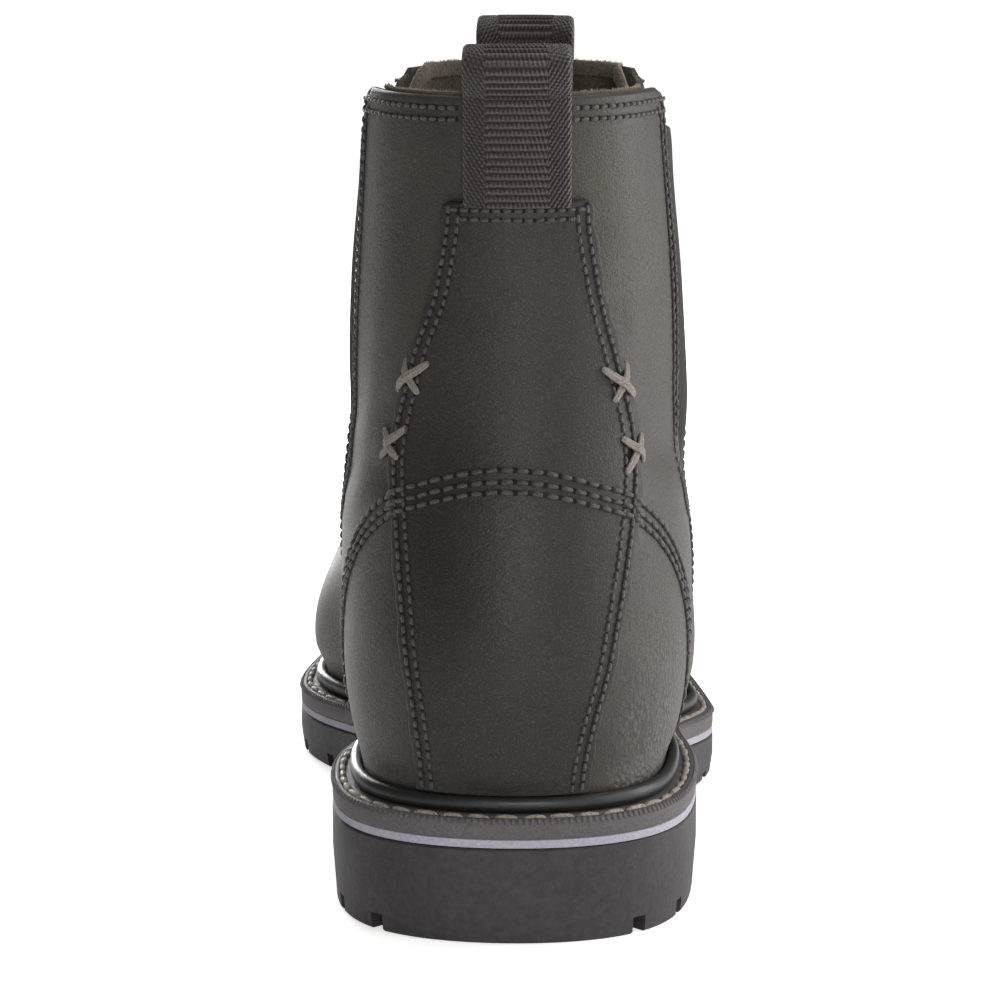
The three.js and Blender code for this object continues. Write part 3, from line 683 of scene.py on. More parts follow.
def repeat_tree():
    tree = bpy.data.node_groups.new("repeat along paths", "GeometryNodeTree")
    face = tree.interface
    face.new_socket("Geometry", in_out="INPUT", socket_type="NodeSocketGeometry")
    for label in ("Pitch", "Scatter"):
        face.new_socket(label, in_out="INPUT", socket_type="NodeSocketFloat")
    face.new_socket("Size", in_out="INPUT", socket_type="NodeSocketVector")
    face.new_socket("Seed", in_out="INPUT", socket_type="NodeSocketInt")
    face.new_socket("Shape", in_out="INPUT", socket_type="NodeSocketObject")
    face.new_socket("Material", in_out="INPUT", socket_type="NodeSocketMaterial")
    face.new_socket("Geometry", in_out="OUTPUT", socket_type="NodeSocketGeometry")
    given = tree.nodes.new("NodeGroupInput").outputs
    curve = put(tree, "GeometryNodeMeshToCurve", {"Mesh": given["Geometry"]}).outputs[0]
    spacing = {"Curve": curve, "Length": given["Pitch"]}
    evened = put(tree, "GeometryNodeResampleCurve", spacing, mode="LENGTH").outputs[0]
    axes = {1: put(tree, "GeometryNodeInputTangent").outputs[0]}
    kept = put(tree, "GeometryNodeInputNamedAttribute", {"Name": "outward"}, data_type="FLOAT_VECTOR")
    axes[0] = kept.outputs[0]
    turned = put(tree, "FunctionNodeAxesToRotation", axes, primary_axis="Z", secondary_axis="X").outputs[0]
    spread = {"Seed": given["Seed"]}
    spread[2] = put(tree, "ShaderNodeMath", {0: 1.0, 1: given["Scatter"]}, operation="SUBTRACT").outputs[0]
    spread[3] = put(tree, "ShaderNodeMath", {0: 1.0, 1: given["Scatter"]}, operation="ADD").outputs[0]
    varied = put(tree, "FunctionNodeRandomValue", spread, data_type="FLOAT").outputs[1]
    grown = {0: given["Size"], "Scale": varied}
    size = put(tree, "ShaderNodeVectorMath", grown, operation="SCALE").outputs[0]
    lean = put(tree, "FunctionNodeRandomValue", {"Seed": given["Seed"]}, data_type="FLOAT_VECTOR")
    lean.inputs[0].default_value = [-most for most in LEAN]
    lean.inputs[1].default_value = LEAN
    lean_turn = put(tree, "FunctionNodeEulerToRotation", {0: lean.outputs[0]}).outputs[0]
    both = {0: turned, 1: lean_turn}
    turned = put(tree, "FunctionNodeRotateRotation", both, rotation_space="LOCAL").outputs[0]
    shape = put(tree, "GeometryNodeObjectInfo", {"Object": given["Shape"]}).outputs["Geometry"]
    instances = {"Points": evened, "Instance": shape, "Rotation": turned, "Scale": size}
    laid = put(tree, "GeometryNodeInstanceOnPoints", instances).outputs[0]
    plain_mesh = put(tree, "GeometryNodeRealizeInstances", {0: laid}).outputs[0]
    coated = {"Geometry": plain_mesh, "Material": given["Material"]}
    done = put(tree, "GeometryNodeSetMaterial", coated).outputs[0]
    tree.links.new(done, tree.nodes.new("NodeGroupOutput").inputs[0])
    return tree


repeat = repeat_tree()
stitch_shape = make_mesh("stitch shape", *thread_shape(0.35))
# A flat near-black disc at each end of a stitch stands for its needle hole: painted shade, with no hole cut
# in the leather
hole_corners = 12
hole_turn = full_turn(hole_corners)
hole_rim = [0.5 + 0.17 * np.cos(hole_turn), 0.5 * np.sin(hole_turn), np.full(hole_corners, -0.10)]
hole_shade_disc = make_mesh("hole shape", np.stack(hole_rim, -1) / METRES, [list(range(hole_corners))])
rib_shape = make_mesh("rib shape", *thread_shape(0.10))
hair_shape = make_mesh("hair shape", *thread_shape(0.25, 5, 4))
print("faces of a stitch", len(stitch_shape.data.polygons), "and of a hair", len(hair_shape.data.polygons))


def lay(name, paths, shape, pitch, size, material, seed=1, scatter=0.07, smooth=True):
    """Lays a small shape along paths and keeps the result as one plain mesh. Sizes are millimetres."""
    name = name.replace(" ", "_")
    points = np.concatenate([path[0] for path in paths])
    normals = np.concatenate([path[1] for path in paths])
    mesh = bpy.data.meshes.new(name)
    starts = np.cumsum([0] + [len(path[0]) for path in paths])
    edges = [(i, i + 1) for a, b in zip(starts[:-1], starts[1:]) for i in range(a, b - 1)]
    mesh.from_pydata((points * METRES).tolist(), edges, [])
    outward = mesh.attributes.new("outward", "FLOAT_VECTOR", "POINT")
    outward.data.foreach_set("vector", normals.astype(np.float32).ravel())
    made = bpy.data.objects.new(name, mesh)
    bpy.context.collection.objects.link(made)
    modifier = made.modifiers.new("repeat", "NODES")
    modifier.node_group = repeat
    sockets = {item.name: item.identifier for item in repeat.interface.items_tree if item.in_out == "INPUT"}
    values = dict(Pitch=pitch * METRES, Scatter=scatter, Seed=seed, Shape=shape, Material=material)
    values["Size"] = [s * METRES for s in size]
    for label, value in values.items():
        modifier[sockets[label]] = value
    graph = bpy.context.evaluated_depsgraph_get()
    kept = bpy.data.meshes.new_from_object(made.evaluated_get(graph))
    made.modifiers.clear()
    made.data = kept
    kept.polygons.foreach_set("use_smooth", [smooth] * len(kept.polygons))
    return made


# How far the pressed line's dark ribbon of painted shade lies under its thread, and how far its two edges are
# tucked in
GROOVE_DROP = 0.24
GROOVE_TUCK = 0.2


def groove_shade_under(name, paths, width):
    """The pressed line that a row of stitches lies in, as a narrow near-black ribbon just over the skin:
    painted shade of the recess.
    """
    points, faces, start = [], [], 0
    for path, out in paths:
        way = np.gradient(path, axis=0)
        way /= np.linalg.norm(way, axis=1, keepdims=True)
        side = np.cross(way, out)
        low = path - out * GROOVE_DROP
        tucked = low - out * GROOVE_TUCK
        points += [tucked - side * width / 2, low - side * width / 4]
        points += [low + side * width / 4, tucked + side * width / 2]
        i = np.arange(len(path) - 1)
        for k in range(3):
            a = start + k * len(path) + i
            faces.append(np.stack([a, a + 1, a + 1 + len(path), a + len(path)], -1)[:, ::-1])
        start += 4 * len(path)
    made = make_mesh(name, np.concatenate(points), np.concatenate(faces), groove_shade_skin)
    return settle(made, "upper_leather")


def sew(name, paths, pitch, size, seed, groove_shade=1.5):
    """A seam on the leather: the pressed line and the needle holes, both as near-black painted shade, and the
    thread.
    """
    groove_shade_under(name + " line", paths, groove_shade)
    hole_shades = lay(name + " holes", paths, hole_shade_disc, pitch, (pitch, size[1] * 1.25, 1.0), hole_shade_skin, seed, 0.0)
    settle(hole_shades, "upper_leather")
    threads = lay(name, paths, stitch_shape, pitch, size, thread_highlight_skin, seed)
    return settle(threads, "upper_leather")


def smooth_line(corners, count=120):
    corners = np.asarray(corners, float)
    walked = np.concatenate([[0], np.cumsum(np.linalg.norm(np.diff(corners, axis=0), axis=1))])
    t = np.linspace(0, walked[-1], count)
    return np.stack([through_free(walked, corners[:, k], t) for k in range(corners.shape[1])], -1)


def through_free(knots, values, t):
    tangent = np.gradient(values, knots)
    i = np.clip(np.searchsorted(knots, t, side="right") - 1, 0, len(knots) - 2)
    h = knots[i + 1] - knots[i]
    k = (t - knots[i]) / h
    low = (2 * k**3 - 3 * k**2 + 1) * values[i] + (k**3 - 2 * k**2 + k) * h * tangent[i]
    return low + (3 * k**2 - 2 * k**3) * values[i + 1] + (k**3 - k**2) * h * tangent[i + 1]


# %% [markdown]
# The gore's window is a long slot with a round foot, open at the collar, where the leather turns a
# rounded corner on each side. Its outline is drawn in side view, then found on the surface.

# %% The window's outline
window_middle = heel_back + gore["back"] + gore["top"] / 2
window_low = upper["collar"] - gore["depth"]
window_bottom = gore["bottom"] / 2
window_slant = (gore["top"] - gore["bottom"]) / 2 / gore["depth"]
corner_height = upper["collar"] - gore["corner"]
corner_half = gore["top"] / 2 - gore["corner"] * window_slant


def window_half(z):
    arc = np.sqrt(np.maximum(0, gore["corner"] ** 2 - np.clip(z - corner_height, 0, gore["corner"]) ** 2))
    flare = corner_half + gore["corner"] - arc
    middle = window_low + window_bottom
    straight = window_bottom + (corner_half - window_bottom) * (z - middle) / (corner_height - middle)
    round_foot = np.sqrt(np.maximum(0, window_bottom**2 - (middle - z) ** 2))
    half = np.where(z > corner_height, flare, np.where(z > middle, straight, round_foot))
    return np.where(z < window_low, -1.0, half)


def window_outline(offset, top=upper["collar"]):
    """The outline from the collar at the back, round the foot and up to the collar at the front."""
    z = np.linspace(corner_height, window_low + window_bottom, 90)
    turn = np.linspace(math.pi / 2, 0, 12)[:-1]
    corner_y = corner_half + gore["corner"] * (1 - np.cos(turn))
    right = [np.stack([corner_y, corner_height + gore["corner"] * np.sin(turn)], -1)]
    right.append(np.stack([window_half(z), z], -1))
    foot = np.linspace(0, math.pi / 2, 24)[1:]
    middle = window_low + window_bottom
    right.append(np.stack([window_bottom * np.cos(foot), middle - window_bottom * np.sin(foot)], -1))
    half = np.concatenate(right)
    both = np.concatenate([half * [-1, 1], half[::-1][1:] * [1, 1]])
    way = np.gradient(both, axis=0)
    way /= np.linalg.norm(way, axis=1, keepdims=True)
    both = both + np.stack([way[:, 1], -way[:, 0]], -1) * offset
    both = both[both[:, 1] <= top + 0.01]
    return both + [window_middle, 0]


outline = window_outline(0)
print("window outline points", len(outline))

# %% [markdown]
# Soft creases: a boot like this breaks across the vamp and behind the ankle. Each crease is a line on
# the surface with a trough and a low ridge above and below it. Their places are listed below.

# %% Creases
creases = [
    # corners as (degrees round from the back, share up the surface), then depth and width in millimetres
    (([-62, 0.50], [-40, 0.53], [-22, 0.515]), 0.45, 4.5),
    (([24, 0.55], [44, 0.56], [66, 0.53]), 0.45, 5.0),
    (([-30, 0.79], [-14, 0.765], [4, 0.775]), 0.30, 6.0),
    (([10, 0.71], [26, 0.72], [42, 0.75]), 0.30, 6.5),
    (([108, 0.30], [140, 0.42], [180, 0.45], [220, 0.42], [250, 0.30]), 0.65, 5.0),
    (([112, 0.22], [142, 0.36], [180, 0.40], [218, 0.36], [247, 0.22]), 0.45, 4.2),
    (([120, 0.40], [150, 0.50], [180, 0.53], [210, 0.50], [240, 0.40]), 0.50, 6.0),
    (([150, 0.60], [180, 0.62], [210, 0.60]), 0.45, 5.5),
]
# How many points the line of a crease is drawn with
CREASE_POINTS = 48
print("creases", len(creases))


def crease_lift(theta, v, points):
    """How far the leather stands off its surface at some points: creases, and a slow unevenness."""
    lift = np.zeros(len(points))
    for corners, depth, width in creases:
        line = smooth_line(corners, CREASE_POINTS)
        turned = np.radians(line[:, 0])
        at = outer_point(turned, line[:, 1])
        apart = np.linalg.norm(points[:, None] - at[None], axis=2)
        nearest = apart.argmin(1)
        near = apart.min(1)
        share = nearest / (CREASE_POINTS - 1)
        fade = ramp(0, 0.2, np.minimum(share, 1 - share))
        trough = np.exp(-((near / width) ** 2))
        ridge = 0.55 * np.exp(-(((near - 1.9 * width) / (0.9 * width)) ** 2))
        lift += depth * fade * (ridge - trough)
    slow = np.sin(points[:, 2] * 0.075 + np.sin(points[:, 1] * 0.05) * 1.4 + points[:, 0] * 0.04)
    lift += 0.22 * slow * ramp(0.1, 0.3, v) * (1 - ramp(0.9, 1.0, v))
    return lift


# %% [markdown]
# The leather: one hollow skin, about two millimetres thick, cut out for the gores, with rounded cut
# edges. A boolean could cut the windows, but it leaves ragged edges. Here the skin is triangulated in
# the surface's own two directions with the windows' outlines as fixed edges, so the cut is clean.

# %% Upper
columns = 360
rim_rows = [0.990, 0.9935, 0.9965, 0.9985, 1]
rows_v = np.concatenate([np.linspace(0, 0.035, 4), np.linspace(0.045, 0.985, 92), rim_rows])
flat_scale = np.array([60.0, 200.0])
# Nearer than this to the boot's middle plane there is no window. A point far from any window gets
# the long distance.
SEAM_HALF = 8
FAR_OFF = 99.0
lattice_theta, lattice_v = np.meshgrid(np.linspace(-math.pi, math.pi, columns + 1), rows_v)
lattice = np.stack([lattice_theta.ravel(), lattice_v.ravel()], -1)
lattice_points = outer_point(lattice[:, 0], lattice[:, 1])


def in_window(points):
    """Which points lie inside a window's outline in side view. The back and front seams never do."""
    below_rim = np.minimum(points[:, 2], upper["collar"] - 0.01)
    within = np.abs(points[:, 1] - window_middle) < window_half(below_rim)
    return within & (points[:, 2] > window_low) & (np.abs(points[:, 0]) > SEAM_HALF)


def window_distance(points):
    """Distance from the window's edge in side view, below nought inside the window."""
    line = window_outline(0)
    apart = np.full(len(points), FAR_OFF)
    near = (np.abs(points[:, 1] - window_middle) < 60) & (points[:, 2] > window_low - 20)
    near &= np.abs(points[:, 0]) > SEAM_HALF
    side = points[near]
    parts = np.array_split(side[:, 1:], 20)
    found = np.concatenate([np.linalg.norm(part[:, None] - line[None], axis=2).min(1) for part in parts])
    apart[near] = np.where(in_window(side), -found, found)
    return apart


lattice_apart = window_distance(lattice_points)
keep_lattice = lattice_apart > 1.5
flat_points = [lattice[keep_lattice]]
fixed_edges = []
count = int(keep_lattice.sum())
for side in (1, -1):
    for offset in (0, 0.35, 0.9):
        theta, v = from_side(window_outline(offset), side)
        v[0] = v[-1] = 1.0
        flat_points.append(np.stack([theta, v], -1))
        fixed_edges += [(count + i, count + i + 1) for i in range(len(theta) - 1)]
        count += len(theta)
flat_points = np.concatenate(flat_points)
flat = [Vector(p) for p in (flat_points * flat_scale).tolist()]
found = delaunay_2d_cdt(flat, fixed_edges, [], 0, 1e-5)
flat_points = np.array([tuple(p) for p in found[0]]) / flat_scale
triangles = np.array([face for face in found[2] if len(face) == 3])
flat_points[:, 0] = np.clip(flat_points[:, 0], -math.pi, math.pi)
theta, v = flat_points[:, 0], np.clip(flat_points[:, 1], 0, 1)
raw = outer_point(theta, v)
apart = window_distance(raw)
middles = outer_point(theta[triangles].mean(1), v[triangles].mean(1))
triangles = triangles[~in_window(middles)]
area = flat_points[triangles]
sign = np.cross(area[:, 1] - area[:, 0], area[:, 2] - area[:, 0])
triangles = np.where((sign > 0)[:, None], triangles, triangles[:, ::-1])
triangles = triangles[np.abs(sign) > 1e-9]

order = np.arange(len(theta))
left_seam = np.where(theta < -math.pi + 1e-6)[0]
right_seam = np.where(theta > math.pi - 1e-6)[0]
matched = np.abs(v[right_seam][:, None] - v[left_seam][None]).argmin(1)
order[right_seam] = left_seam[matched]
triangles = order[triangles]
used = np.unique(triangles)
renumber = np.full(len(theta), -1)
renumber[used] = np.arange(len(used))
triangles = renumber[triangles]
theta, v, apart, raw = theta[used], v[used], apart[used], raw[used]

edge_round = 0.9
rim_apart = (1 - v) * upper["collar"]
from_edge = np.clip(np.minimum(np.abs(apart), rim_apart), 0, edge_round)
sunk = edge_round - np.sqrt(edge_round**2 - (edge_round - from_edge) ** 2)
lift = crease_lift(theta, v, raw) * ramp(0.5, 8, np.minimum(np.abs(apart), 50)) - sunk
outside = upper_point(theta, v, -lift)
inside = upper_point(theta, v, upper["wall"] - 0.2)
directed = np.concatenate([triangles[:, pair] for pair in ([0, 1], [1, 2], [2, 0])])
sides = np.sort(directed, axis=1)
keys = sides[:, 0] * len(theta) + sides[:, 1]
_, first, uses = np.unique(keys, return_index=True, return_counts=True)
border = directed[first[uses == 1]]
n = len(theta)
walls = np.stack([border[:, 1], border[:, 0], border[:, 0] + n, border[:, 1] + n], -1)
faces = triangles.tolist() + (triangles[:, ::-1] + n).tolist() + walls.tolist()
leather_upper = make_mesh("upper leather", np.concatenate([outside, inside]), faces, leather_skin)
leather_upper.data.materials.append(cut_edge)
leather_upper.data.materials.append(lining_skin)
face_kind = np.zeros(len(leather_upper.data.polygons), np.int32)
face_kind[len(triangles):] = 2
face_kind[-len(walls):] = 1
leather_upper.data.polygons.foreach_set("material_index", face_kind)
print("upper border edges", len(border))
settle(leather_upper, "upper_leather", "upper")

# %% [markdown]
# The stay is a second layer of leather over the back seam. Its raw edge is a little wavy, and the
# pressed edge is rounded over. It could be a flat sheet shrunk on to the upper, but a grid that is
# placed on the surface point by point keeps an even thickness and bends with the heel.

# %% Back stay
stay_rows = np.array([
    # up, width, lean
    [0.0, 0.69, -0.6], [0.25, 0.87, 0.2], [0.46, 0.98, 0.55], [0.54, 1.0, 0.55], [0.72, 0.85, 0.62],
    [0.85, 0.68, 0.95], [1.0, 0.59, 1.0],
])
stay_foot = welt_zero + rand["height"] + upper["gap"]


def stay_edge(side, up, inset=0.0):
    width = through(stay_rows[:, 0], stay_rows[:, 1], up) * stay["width"]
    lean = through(stay_rows[:, 0], stay_rows[:, 2], up) * stay["lean"]
    z = stay_foot + up * (stay["top"] - stay_foot)
    waver = 0.22 * np.sin(z * 0.31 + side) + 0.14 * np.sin(z * 0.83 + 2 * side)
    return side * (width / 2 - inset + waver * (inset == 0)) + lean, z


across, up_count = 100, 170
u = np.linspace(-1, 1, across)
u = np.sign(u) * (1 - (1 - np.abs(u)) ** 1.25)
up = np.linspace(0, 1, up_count)
up = 1 - (1 - up) ** 1.15
grid_u, grid_up = np.meshgrid(u, up)
right_x, grid_z = stay_edge(1, grid_up.ravel())
left_x, _ = stay_edge(-1, grid_up.ravel())
corner = 2.2
half = (right_x - left_x) / 2
top_drop = np.clip(corner - (1 - np.abs(grid_u.ravel())) * half, 0, corner)
top_drop = corner - np.sqrt(np.maximum(0, corner**2 - top_drop**2))
grid_z = grid_z - top_drop * ramp(0.9, 1, grid_up.ravel())
grid_z = grid_z + 0.25 * np.sin(grid_u.ravel() * 9) * ramp(0.97, 1, grid_up.ravel())
grid_x = left_x + (right_x - left_x) * (grid_u.ravel() + 1) / 2
theta, v = from_back(np.stack([grid_x, grid_z], -1))
to_side = (1 - np.abs(grid_u.ravel())) * half
to_top = (1 - grid_up.ravel()) * (stay["top"] - stay_foot)
edge_near = np.minimum(to_side, to_top)
rounding = 0.8
near = np.clip(edge_near, 0, rounding)
sunk = rounding - np.sqrt(rounding**2 - (rounding - near) ** 2)
base = outer_point(theta, v)
puff = 0.18 * ramp(2.2, 5.5, edge_near)
thick = stay["thick"] + upper["gap"] - sunk * 1.2 + puff
top_face = upper_point(theta, v, -(thick + crease_lift(theta, v, base) * 0.5))
low_face = upper_point(theta, v, -0.05)
faces, edge_count = sheet_faces(up_count, across)
back_stay = make_mesh("back stay leather", np.concatenate([top_face, low_face]), faces, stay_shaded_skin)
back_stay.data.materials.append(cut_edge)
face_kind = np.zeros(len(faces), np.int32)
face_kind[-edge_count:] = 1
back_stay.data.polygons.foreach_set("material_index", face_kind)
settle(back_stay, "upper_leather", "back_stay")

# %% [markdown]
# Gores: elastic webbing behind the windows, with upright ribs, bulging a little through the window.
# The ribs are real relief and no bump, because the view from behind looks along them.


# %% Gores
elastic = dict(pitch=1.75, relief=0.16, bulge=2.6)


def make_gore(side, node):
    rows, cols = 70, 190
    grow = gore["lap"] - 0.4
    z = np.linspace(window_low - grow + 1.5, upper["collar"] - gore["drop"], rows)
    t = np.linspace(-1, 1, cols)
    bottom = window_bottom + grow
    centre = window_low - grow + bottom
    straight = window_bottom + grow + (z - centre) * window_slant
    half = np.where(z > centre, straight, np.sqrt(np.maximum(0.5, bottom**2 - (centre - z) ** 2)))
    grid_z, grid_t = np.meshgrid(z, t, indexing="ij")
    grid_y = window_middle + grid_t * half[:, None]
    theta, v = from_side(np.stack([grid_y.ravel(), grid_z.ravel()], -1), side)
    open_half = np.maximum(window_half(np.minimum(grid_z.ravel(), corner_height)), 0.01)
    share = np.clip(1 - ((grid_y.ravel() - window_middle) / open_half) ** 2, 0, 1)
    share = share * ramp(window_low, window_low + 18, grid_z.ravel())
    ribs = elastic["relief"] * np.cos(grid_y.ravel() * 2 * math.pi / elastic["pitch"])
    bulge = elastic["bulge"] * share * (1 - ramp(185, 200, grid_z.ravel()) * 0.6)
    depth = upper["wall"] + 0.45 - bulge
    outer = upper_point(theta, v, depth - ribs)
    inner = upper_point(theta, v, depth + gore["thick"])
    faces, _ = sheet_faces(rows, cols, flip=side < 0)
    made = make_mesh(node.replace("_", " "), np.concatenate([outer, inner]), faces, elastic_skin)
    return settle(made, "gore_elastic", node)


make_gore(1, "gore_lateral")
make_gore(-1, "gore_medial")

# %% [markdown]
# Lining: a soft khaki cloth inside the leather. It stands a little proud of the collar, where its raw
# edge is fuzzy, and steps in behind the gores. It could be the leather's inner face in another
# colour, but a ring of its own gives the collar the two layers that a real one shows.

# %% Lining
lining_columns = 240
theta_line = full_turn(lining_columns)
side_y = outer_point(theta_line, np.full(lining_columns, 0.97))[:, 1]
from_window = np.abs(side_y - window_middle) - gore["top"] / 2
behind_gore = ramp(gore["lap"] + 5, gore["lap"], from_window)
dipped = ramp(7, -9, from_window)
levels = np.linspace(0, 1, 60)
rings = []
for level in levels:
    top_v = 0.9995 - dipped * 0.055
    v_ring = 0.012 + (top_v - 0.012) * level
    high = outer_point(theta_line, v_ring)
    over_window = ramp(window_low - 12, window_low - 5, high[:, 2])
    depth = upper["wall"] - 0.1 + behind_gore * over_window * (gore["thick"] + 1.3)
    ripple = 0.15 * np.sin(theta_line * 23 + level * 9)
    rings.append(upper_point(theta_line, v_ring, depth + ripple))
top_ring = rings[-1].copy()
inward = -outward_at(theta_line, np.full(lining_columns, 0.99))
inward[:, 2] = 0
lip = top_ring + [0, 0, 0.7]
rings.append(lip - inward * 0.5)
rings.append(lip + inward * 0.3 + [0, 0, 0.2])
rings.append(lip + inward * 1.1 - [0, 0, 0.4])
rings.append(top_ring + inward * 1.3 - [0, 0, 3])
points = np.concatenate(rings)
faces = grid_faces(len(rings), lining_columns, wrap=True, flip=True)
lining = make_mesh("lining", points, faces, lining_skin)
settle(lining, "gore_elastic")

fuzz_paths = [(lip, (np.array([0, 0, 1.0]) - inward * 0.35) / 1.06)]
fuzz = lay("collar fuzz", fuzz_paths, hair_shape, 0.24, (0.16, 0.16, 1.1), fibre_skin, 5, 0.55)
settle(fuzz, "gore_elastic")

# %% [markdown]
# Pull loops: woven tape folded over the collar, ribbed down its middle and twilled at its edges. A
# curve with a flat profile could make the fold. A grid with its own UV map is used, because the weave
# has to follow the tape up one side, over the bend and down the other.


# %% Pull loops
def beside_middle(x, v, front, depth):
    """The places on the upper that lie off the middle by x. x, v and depth are broadcast together."""
    x, v, depth = np.broadcast_arrays(x, v, depth)
    middle = math.pi if front else 0.0
    low = np.full(x.shape, -0.9)
    high = np.full(x.shape, 0.9)
    flip = -1 if front else 1
    for _ in range(22):
        mid = (low + high) / 2
        less = flip * upper_point(middle + mid, v, depth)[..., 0] < flip * x
        low = np.where(less, mid, low)
        high = np.where(less, high, mid)
    return upper_point(middle + (low + high) / 2, v, depth)


def belt_at(height, front):
    low, high = 0.5, 1.0
    for _ in range(40):
        mid = (low + high) / 2
        if outer_point(math.pi if front else 0.0, mid)[2] < height:
            low = mid
        else:
            high = mid
    return (low + high) / 2


def make_loop(name, front, leg_v, shift, node):
    over = 44
    x = shift + np.linspace(-0.5, 0.5, over) * loop["width"]
    ease = upper["gap"] + 0.25 + loop["thick"] / 2
    rim = 0.9999
    leg = np.linspace(leg_v, rim, 40)[:-1, None]
    lines = list(beside_middle(x[None], leg, front, -ease))
    a = beside_middle(x, rim, front, -ease)
    b = beside_middle(x, rim, front, upper["wall"] + ease)
    middle = (a + b) / 2
    away = a - b
    away[:, 2] = 0
    half = np.linalg.norm(away, axis=1, keepdims=True) / 2
    away = away / (2 * half)
    for turn in np.linspace(0, math.pi, 90):
        spot = middle + away * (half + loop["bulge"] * math.sin(turn)) * math.cos(turn)
        spot = spot + [0, 0, loop["rise"] * math.sin(turn)]
        lines.append(spot)
    lines += list(beside_middle(x[None], leg[::-1], front, upper["wall"] + ease))
    grid = np.stack(lines)
    path = grid[:, over // 2]
    walked = np.concatenate([[0], np.cumsum(np.linalg.norm(np.diff(path, axis=0), axis=1))])
    even = np.linspace(0, walked[-1], 330)
    flat = np.empty((len(even), over, 3))
    for j in range(over):
        for k in range(3):
            flat[:, j, k] = np.interp(even, walked, grid[:, j, k])
    rows = len(even)
    up = np.gradient(flat, axis=0)
    side = np.gradient(flat, axis=1)
    out = np.cross(side, up)
    out /= np.linalg.norm(out, axis=2, keepdims=True)
    share = np.linspace(0, 1, over)[None, :]
    from_middle = np.abs(share - 0.5)
    turns = even[:, None] / webbing["pitch"]
    ribs = 0.30 * np.sin(turns * 2 * math.pi)
    twill = 0.29 * np.sin((turns - from_middle * webbing["slant"]) * 2 * math.pi)
    relief = np.where(from_middle > webbing["middle"], twill, ribs)
    edge = np.clip((0.5 - from_middle) / 0.05, 0, 1)
    body = loop["thick"] / 2 * (0.45 + 0.55 * np.sqrt(edge * (2 - edge)))
    outer = flat + out * (body + relief * edge)[..., None]
    inner = flat - out * (body + relief * edge)[..., None]
    faces, _ = sheet_faces(rows, over)
    made = make_mesh(name, np.concatenate([outer.reshape(-1, 3), inner.reshape(-1, 3)]), faces, webbing_skin)
    uv = made.data.uv_layers.new(name="UVMap")
    u_one = np.tile(np.linspace(0, 1, over), rows)
    v_one = np.repeat(even / (webbing["pitch"] * webbing["ribs"]), over)
    all_uv = np.stack([np.concatenate([u_one, u_one]), np.concatenate([v_one, v_one])], -1)
    corners = np.zeros(len(made.data.loops), np.int32)
    made.data.loops.foreach_get("vertex_index", corners)
    uv.data.foreach_set("uv", all_uv[corners].astype(np.float32).ravel())
    settle(made, "loop_webbing", node)
    return flat


make_loop("back pull loop", False, belt_at(stay["top"] - 1.5, False), stay["lean"], "pull_loop_back")
make_loop("front pull loop", True, belt_at(upper["collar"] - loop["leg"], True), 0, "pull_loop_front")

# %% [markdown]
# Sole: a rubber unit with the heel block, a thin grey stripe, and a stitched welt with a glossy bead in
# the corner under the leather. The grooves are cut with the same bars as the part's.

# %% Rings round the sole
round_theta = full_turn(360)


def sole_ring(inset, height):
    x, y = sole_edge(round_theta, inset)
    return np.stack([x, y, height(y) if callable(height) else np.full_like(y, height)], -1)


def slab(levels):
    return ring_loft([sole_ring(inset, height) for inset, height in levels], False)


ledge = layer["ledge"]
gap = upper["gap"]
rand_middle = ledge + rand["width"] / 2
bead_rings = []
for turn in full_turn(18):
    inset = rand_middle - math.cos(turn) * rand["width"] / 2
    rise = rand["height"] / 2 * (1 + math.sin(turn))
    bead_rings.append(sole_ring(inset, lambda y, rise=rise: upper_seat(y) - gap + rise))
bead = make_mesh("rand bead", *ring_loft(bead_rings, True), bead_skin)
settle(bead, "rand_bead", "rand")

weave_in = feather + upper["wall"] + 1


def welt_level(drop):
    return lambda y: welt_top(y) - drop


def welt_foot(y):
    return midsole_top(y) + gap * 0.2


welt_profile = [
    (weave_in, welt_foot), (0.25, welt_foot), (0.0, lambda y: welt_foot(y) + 0.4), (0.0, welt_level(1.5)),
    (0.12, welt_level(0.7)), (0.5, welt_level(0.2)), (1.1, welt_level(0)), (1.5, welt_level(0.05)),
    (1.75, welt_level(0.5)), (2.5, welt_level(0.65)), (3.3, welt_level(0.5)), (3.6, welt_level(0.05)),
    (4.1, welt_level(0)), (weave_in, welt_level(0)),
]
welt = make_mesh("welt strip", *ring_loft([sole_ring(a, b) for a, b in welt_profile], True), welt_skin)
settle(welt, "welt_strip", "welt")

stripe_levels = [
    (0.6, lambda y: outsole_top(y) + 0.05), (0.1, lambda y: outsole_top(y) + 0.3),
    (0.1, lambda y: midsole_top(y) - 0.15), (0.6, lambda y: midsole_top(y) + 0.05),
]
stripe = make_mesh("midsole stripe", *slab(stripe_levels), stripe_skin)
settle(stripe, "midsole_stripe", "midsole")

board_inset = weave_in + gap
board_levels = [
    (board_inset, lambda y: midsole_top(y) + 0.1), (board_inset, lambda y: welt_top(y) + 1.8),
    (board_inset + 0.5, lambda y: welt_top(y) + 2.7), (board_inset + 1.4, lambda y: welt_top(y) + 3),
]
board = make_mesh("footbed", *slab(board_levels), board_skin)
settle(board, "insole_board", "insole")

# %% [markdown]
# The outsole's grooves are left by bars in the real mould. They could be modelled edge by edge. Here
# bars are cut out of a smooth block, because the part's solid was cut with the same bars, so that both
# have the same grooves.

# %% Outsole with its grooves
tread = dict(depth=4.2, gap=4, reach=15, pitch=21, channel=3.6, chevron=24, angle=28)
FAR = sole["length"] * 2
taper_levels = [
    (1.5, 0.0), (0.9, 0.6), (0.0, lambda y: outsole_top(y) * 0.55),
    (0.0, lambda y: outsole_top(y) - 0.5), (0.3, lambda y: outsole_top(y) - 0.1), (0.8, outsole_top),
]
outsole = make_mesh("outsole rubber", *slab(taper_levels), rubber_skin)


